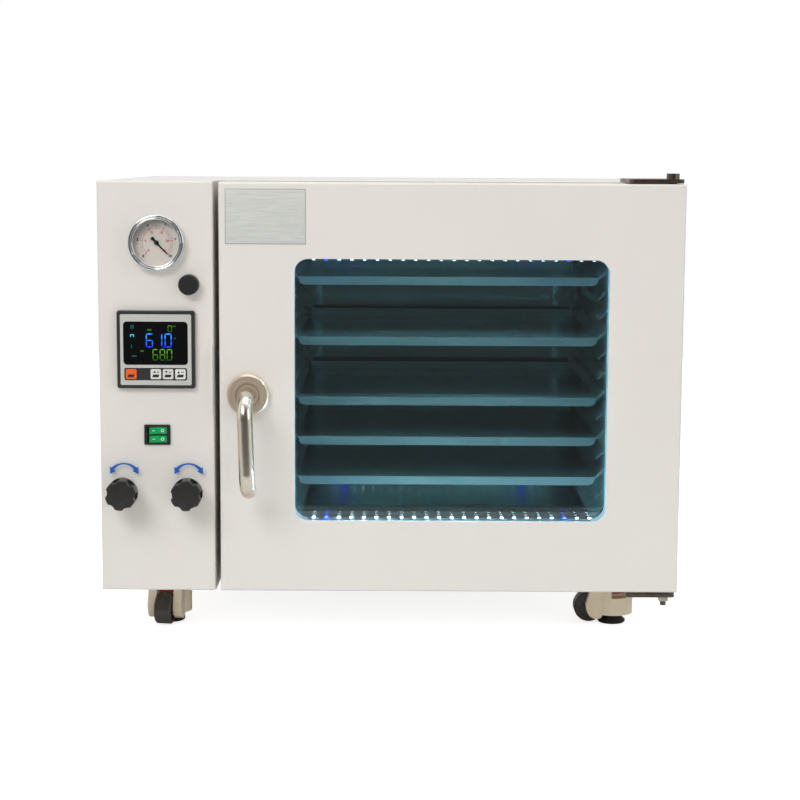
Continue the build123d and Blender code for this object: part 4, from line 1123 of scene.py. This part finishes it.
class OVEN_OT_hinge_bolts(bpy.types.Operator):
    """Bolt head with its washer on the lower hinge bracket"""
    bl_idname = "oven.hinge_bolts"
    bl_label = "Hinge bolt"

    def execute(self, context):
        radius = trim_of(context).bolt_radius
        zinc = cast_metal("bolt zinc", linear(190, 188, 182), 0.3)
        x = high("hinges").x - 12.5 * MM
        y = DOOR_Y + 30 * MM
        below = hexagon_bolt("lower_hinge_bolt", Vector((x, y, low("hinges").z + 13 * MM)), -1,
                             radius, 6.4 * MM, 8 * MM)
        ready(below, zinc, "cabinet")
        return {"FINISHED"}


class OVEN_OT_screws(bpy.types.Operator):
    """Panel screws round the rear"""
    bl_idname = "oven.screws"
    bl_label = "Screws"

    def execute(self, context):
        zinc = cast_metal("screw zinc", linear(186, 184, 178), 0.34)
        edge = 9 * MM
        xs = [CABINET_LOW.x + edge, CABINET_HIGH.x - edge]
        span = CABINET_HIGH.x - CABINET_LOW.x - 2 * edge
        screws = []
        for step in range(5):
            for z in (CABINET_LOW.z + edge, CABINET_HIGH.z - edge):
                screws.append(pan_screw(Vector((xs[0] + span * step / 4, REAR_Y, z))))
        for step in (1, 2):
            z = CABINET_LOW.z + (CABINET_HIGH.z - CABINET_LOW.z) * step / 3
            for x in xs:
                screws.append(pan_screw(Vector((x, REAR_Y, z))))
        ready(join("rear_screws", screws), zinc, "cabinet")
        return {"FINISHED"}


def pan_screw(seat):
    """A pan head with a round recess, raised towards the rear from its seat."""
    tall = 2.2 * MM
    head = add_disc("screw", (0, 0, tall / 2), 3.6 * MM, tall, 24, UPRIGHT)
    bevel(head, rim_of(tall, ALONG_Z), 0.9 * MM, 3)
    choose(head, "FACE", lambda face: face.normal.z > 0.99)
    bpy.ops.mesh.inset(thickness=0.9 * MM)
    bpy.ops.transform.translate(value=(0, 0, -0.6 * MM))
    done()
    return place(head, Matrix.Translation(seat) @ Matrix.Rotation(-math.pi / 2, 4, "X"))


# ---------------------------------------------------------------- studio
class OVEN_OT_studio(bpy.types.Operator):
    """Pale floor, soft lamps, surroundings and camera"""
    bl_idname = "oven.studio"
    bl_label = "Studio"

    def execute(self, context):
        studio = context.scene.oven_studio
        pale_floor()
        surroundings(context.scene, studio.ambient)
        heart = (0.0, 0.0, 0.3)
        soft_lamp("key", (-1.3, -2.3, 2.1), heart, (1.5, 1.2), studio.key, (1, 0.985, 0.96))
        soft_lamp("fill", (2.2, -1.6, 1.1), heart, (1.0, 1.6), studio.fill, (0.96, 0.98, 1))
        soft_lamp("top", (0.0, -0.2, 2.4), heart, (2.0, 1.6), studio.top, (1, 1, 1))
        soft_lamp("warm", (0.3, -2.0, 0.25), (0.1, 0.0, 0.2), (1.6, 0.4), studio.warm,
                  (1, 0.86, 0.74), mirrored=False)
        main_camera(context.scene)
        context.scene.view_settings.view_transform = "Standard"
        return {"FINISHED"}


def pale_floor():
    """A floor that reads white to the camera and still takes the oven's soft shadow."""
    begin()
    bpy.ops.mesh.primitive_grid_add(x_subdivisions=4, y_subdivisions=4, size=1.0,
                                    location=(0, 1.0, 0))
    bpy.context.object.scale = (7.0, 4.2, 1.0)
    floor = named("studio_floor")
    shade = Shade("studio floor", linear(238, 238, 238), 0.9)
    shade.tint(shade.noise(3.0, 2.0), linear(234, 234, 234))
    path = shade.node("ShaderNodeLightPath")
    glow = shade.node("ShaderNodeEmission")
    dim = shade.node("ShaderNodeMath", operation="MULTIPLY")
    dim.inputs[1].default_value = 0.8
    shade.link(path.outputs["Is Camera Ray"], dim.inputs[0])
    shade.link(dim.outputs["Value"], glow.inputs["Strength"])
    both = shade.node("ShaderNodeAddShader")
    shade.link(shade.shader.outputs["BSDF"], both.inputs[0])
    shade.link(glow.outputs["Emission"], both.inputs[1])
    shade.link(both.outputs["Shader"], shade.output.inputs["Surface"])
    floor.data.materials.append(shade.material)


def surroundings(scene, ambient):
    """White to the camera all round. Mirrors see white at the sides and back, and a dim front."""
    world = bpy.data.worlds.new("studio")
    world.use_nodes = True
    scene.world = world
    tree = world.node_tree
    tree.nodes.clear()

    def node(kind, **settings):
        made = tree.nodes.new(kind)
        for setting, value in settings.items():
            setattr(made, setting, value)
        return made

    coordinates = node("ShaderNodeTexCoord")
    axes = node("ShaderNodeSeparateXYZ")
    tree.links.new(coordinates.outputs["Generated"], axes.inputs["Vector"])
    front = node("ShaderNodeMapRange")
    tree.links.new(axes.outputs["Y"], front.inputs["Value"])
    for socket, value in (("From Min", -0.75), ("From Max", -0.1), ("To Min", 0.1),
                          ("To Max", 1.0)):
        front.inputs[socket].default_value = value
    path = node("ShaderNodeLightPath")
    mirrored = node("ShaderNodeMath", operation="MAXIMUM")
    tree.links.new(path.outputs["Is Glossy Ray"], mirrored.inputs[0])
    tree.links.new(path.outputs["Is Transmission Ray"], mirrored.inputs[1])
    seen = node("ShaderNodeMix", data_type="FLOAT")
    tree.links.new(mirrored.outputs["Value"], seen.inputs["Factor"])
    seen.inputs[FLOAT_A].default_value = ambient
    tree.links.new(front.outputs["Result"], seen.inputs[FLOAT_B])
    direct = node("ShaderNodeMix", data_type="FLOAT")
    tree.links.new(path.outputs["Is Camera Ray"], direct.inputs["Factor"])
    tree.links.new(seen.outputs["Result"], direct.inputs[FLOAT_A])
    direct.inputs[FLOAT_B].default_value = 1.0
    background = node("ShaderNodeBackground")
    background.inputs["Color"].default_value = (1, 1, 1, 1)
    tree.links.new(direct.outputs["Result"], background.inputs["Strength"])
    output = node("ShaderNodeOutputWorld")
    tree.links.new(background.outputs["Background"], output.inputs["Surface"])


def soft_lamp(name, place_at, aim, size, power, colour, mirrored=True):
    """An area lamp turned to its aim; one that isn't mirrored lights but is never reflected."""
    lamp = bpy.data.lights.new(name, "AREA")
    lamp.shape = "RECTANGLE"
    lamp.size, lamp.size_y = size
    lamp.energy = power
    lamp.color = colour
    lamp_object = bpy.data.objects.new(name, lamp)
    lamp_object.location = place_at
    direction = Vector(aim) - Vector(place_at)
    lamp_object.rotation_euler = direction.to_track_quat("-Z", "Y").to_euler()
    lamp_object.visible_camera = False
    lamp_object.visible_glossy = mirrored
    lamp_object.visible_transmission = mirrored
    bpy.context.scene.collection.objects.link(lamp_object)


def main_camera(scene):
    """Front view a little above the oven, levelled."""
    data = bpy.data.cameras.new("camera")
    data.sensor_width = 36.0
    data.lens = 83.34
    camera = bpy.data.objects.new("camera", data)
    down = math.radians(7.49)
    swing = -0.0014             # to the right of straight ahead, in radians
    roll = 0.0054
    turn = (Matrix.Rotation(swing, 4, "Z") @ Matrix.Rotation(math.pi / 2 - down, 4, "X")
            @ Matrix.Rotation(roll, 4, "Z"))
    spot = (8.7 * MM, DOOR_Y - 2.268, CABINET_LOW.z + 0.541)
    camera.matrix_world = Matrix.Translation(spot) @ turn
    scene.collection.objects.link(camera)
    scene.camera = camera


# ---------------------------------------------------------------- panel and registration
PIECES = (OVEN_OT_finishes, OVEN_OT_nameplate, OVEN_OT_gauge, OVEN_OT_controller,
          OVEN_OT_switch_marks, OVEN_OT_knobs, OVEN_OT_turn_arrows, OVEN_OT_lamps,
          OVEN_OT_hinge_bolts, OVEN_OT_screws, OVEN_OT_studio)


class OVEN_PT_panel(bpy.types.Panel):
    """Lists the oven's settings and pieces in the sidebar"""
    bl_idname = "OVEN_PT_panel"
    bl_label = "Vacuum Oven"
    bl_space_type = "VIEW_3D"
    bl_region_type = "UI"
    bl_category = "Oven"

    def draw(self, context):
        for group in ("oven_finish", "oven_trim", "oven_studio"):
            settings = getattr(context.scene, group)
            box = self.layout.box()
            for setting in settings.__annotations__:
                box.prop(settings, setting)
        for piece in PIECES:
            self.layout.operator(piece.bl_idname)


GROUPS = {"oven_finish": OvenFinish, "oven_trim": OvenTrim, "oven_studio": OvenStudio}


def register():
    for kind in (*GROUPS.values(), *PIECES, OVEN_PT_panel):
        bpy.utils.register_class(kind)
    for name, kind in GROUPS.items():
        setattr(bpy.types.Scene, name, PointerProperty(type=kind))


def unregister():
    for name in GROUPS:
        delattr(bpy.types.Scene, name)
    for kind in reversed((*GROUPS.values(), *PIECES, OVEN_PT_panel)):
        bpy.utils.unregister_class(kind)


def main():
    register()
    for piece in PIECES:
        group, call = piece.bl_idname.split(".")
        getattr(getattr(bpy.ops, group), call)()
    begin()


if __name__ == "__main__":
    main()
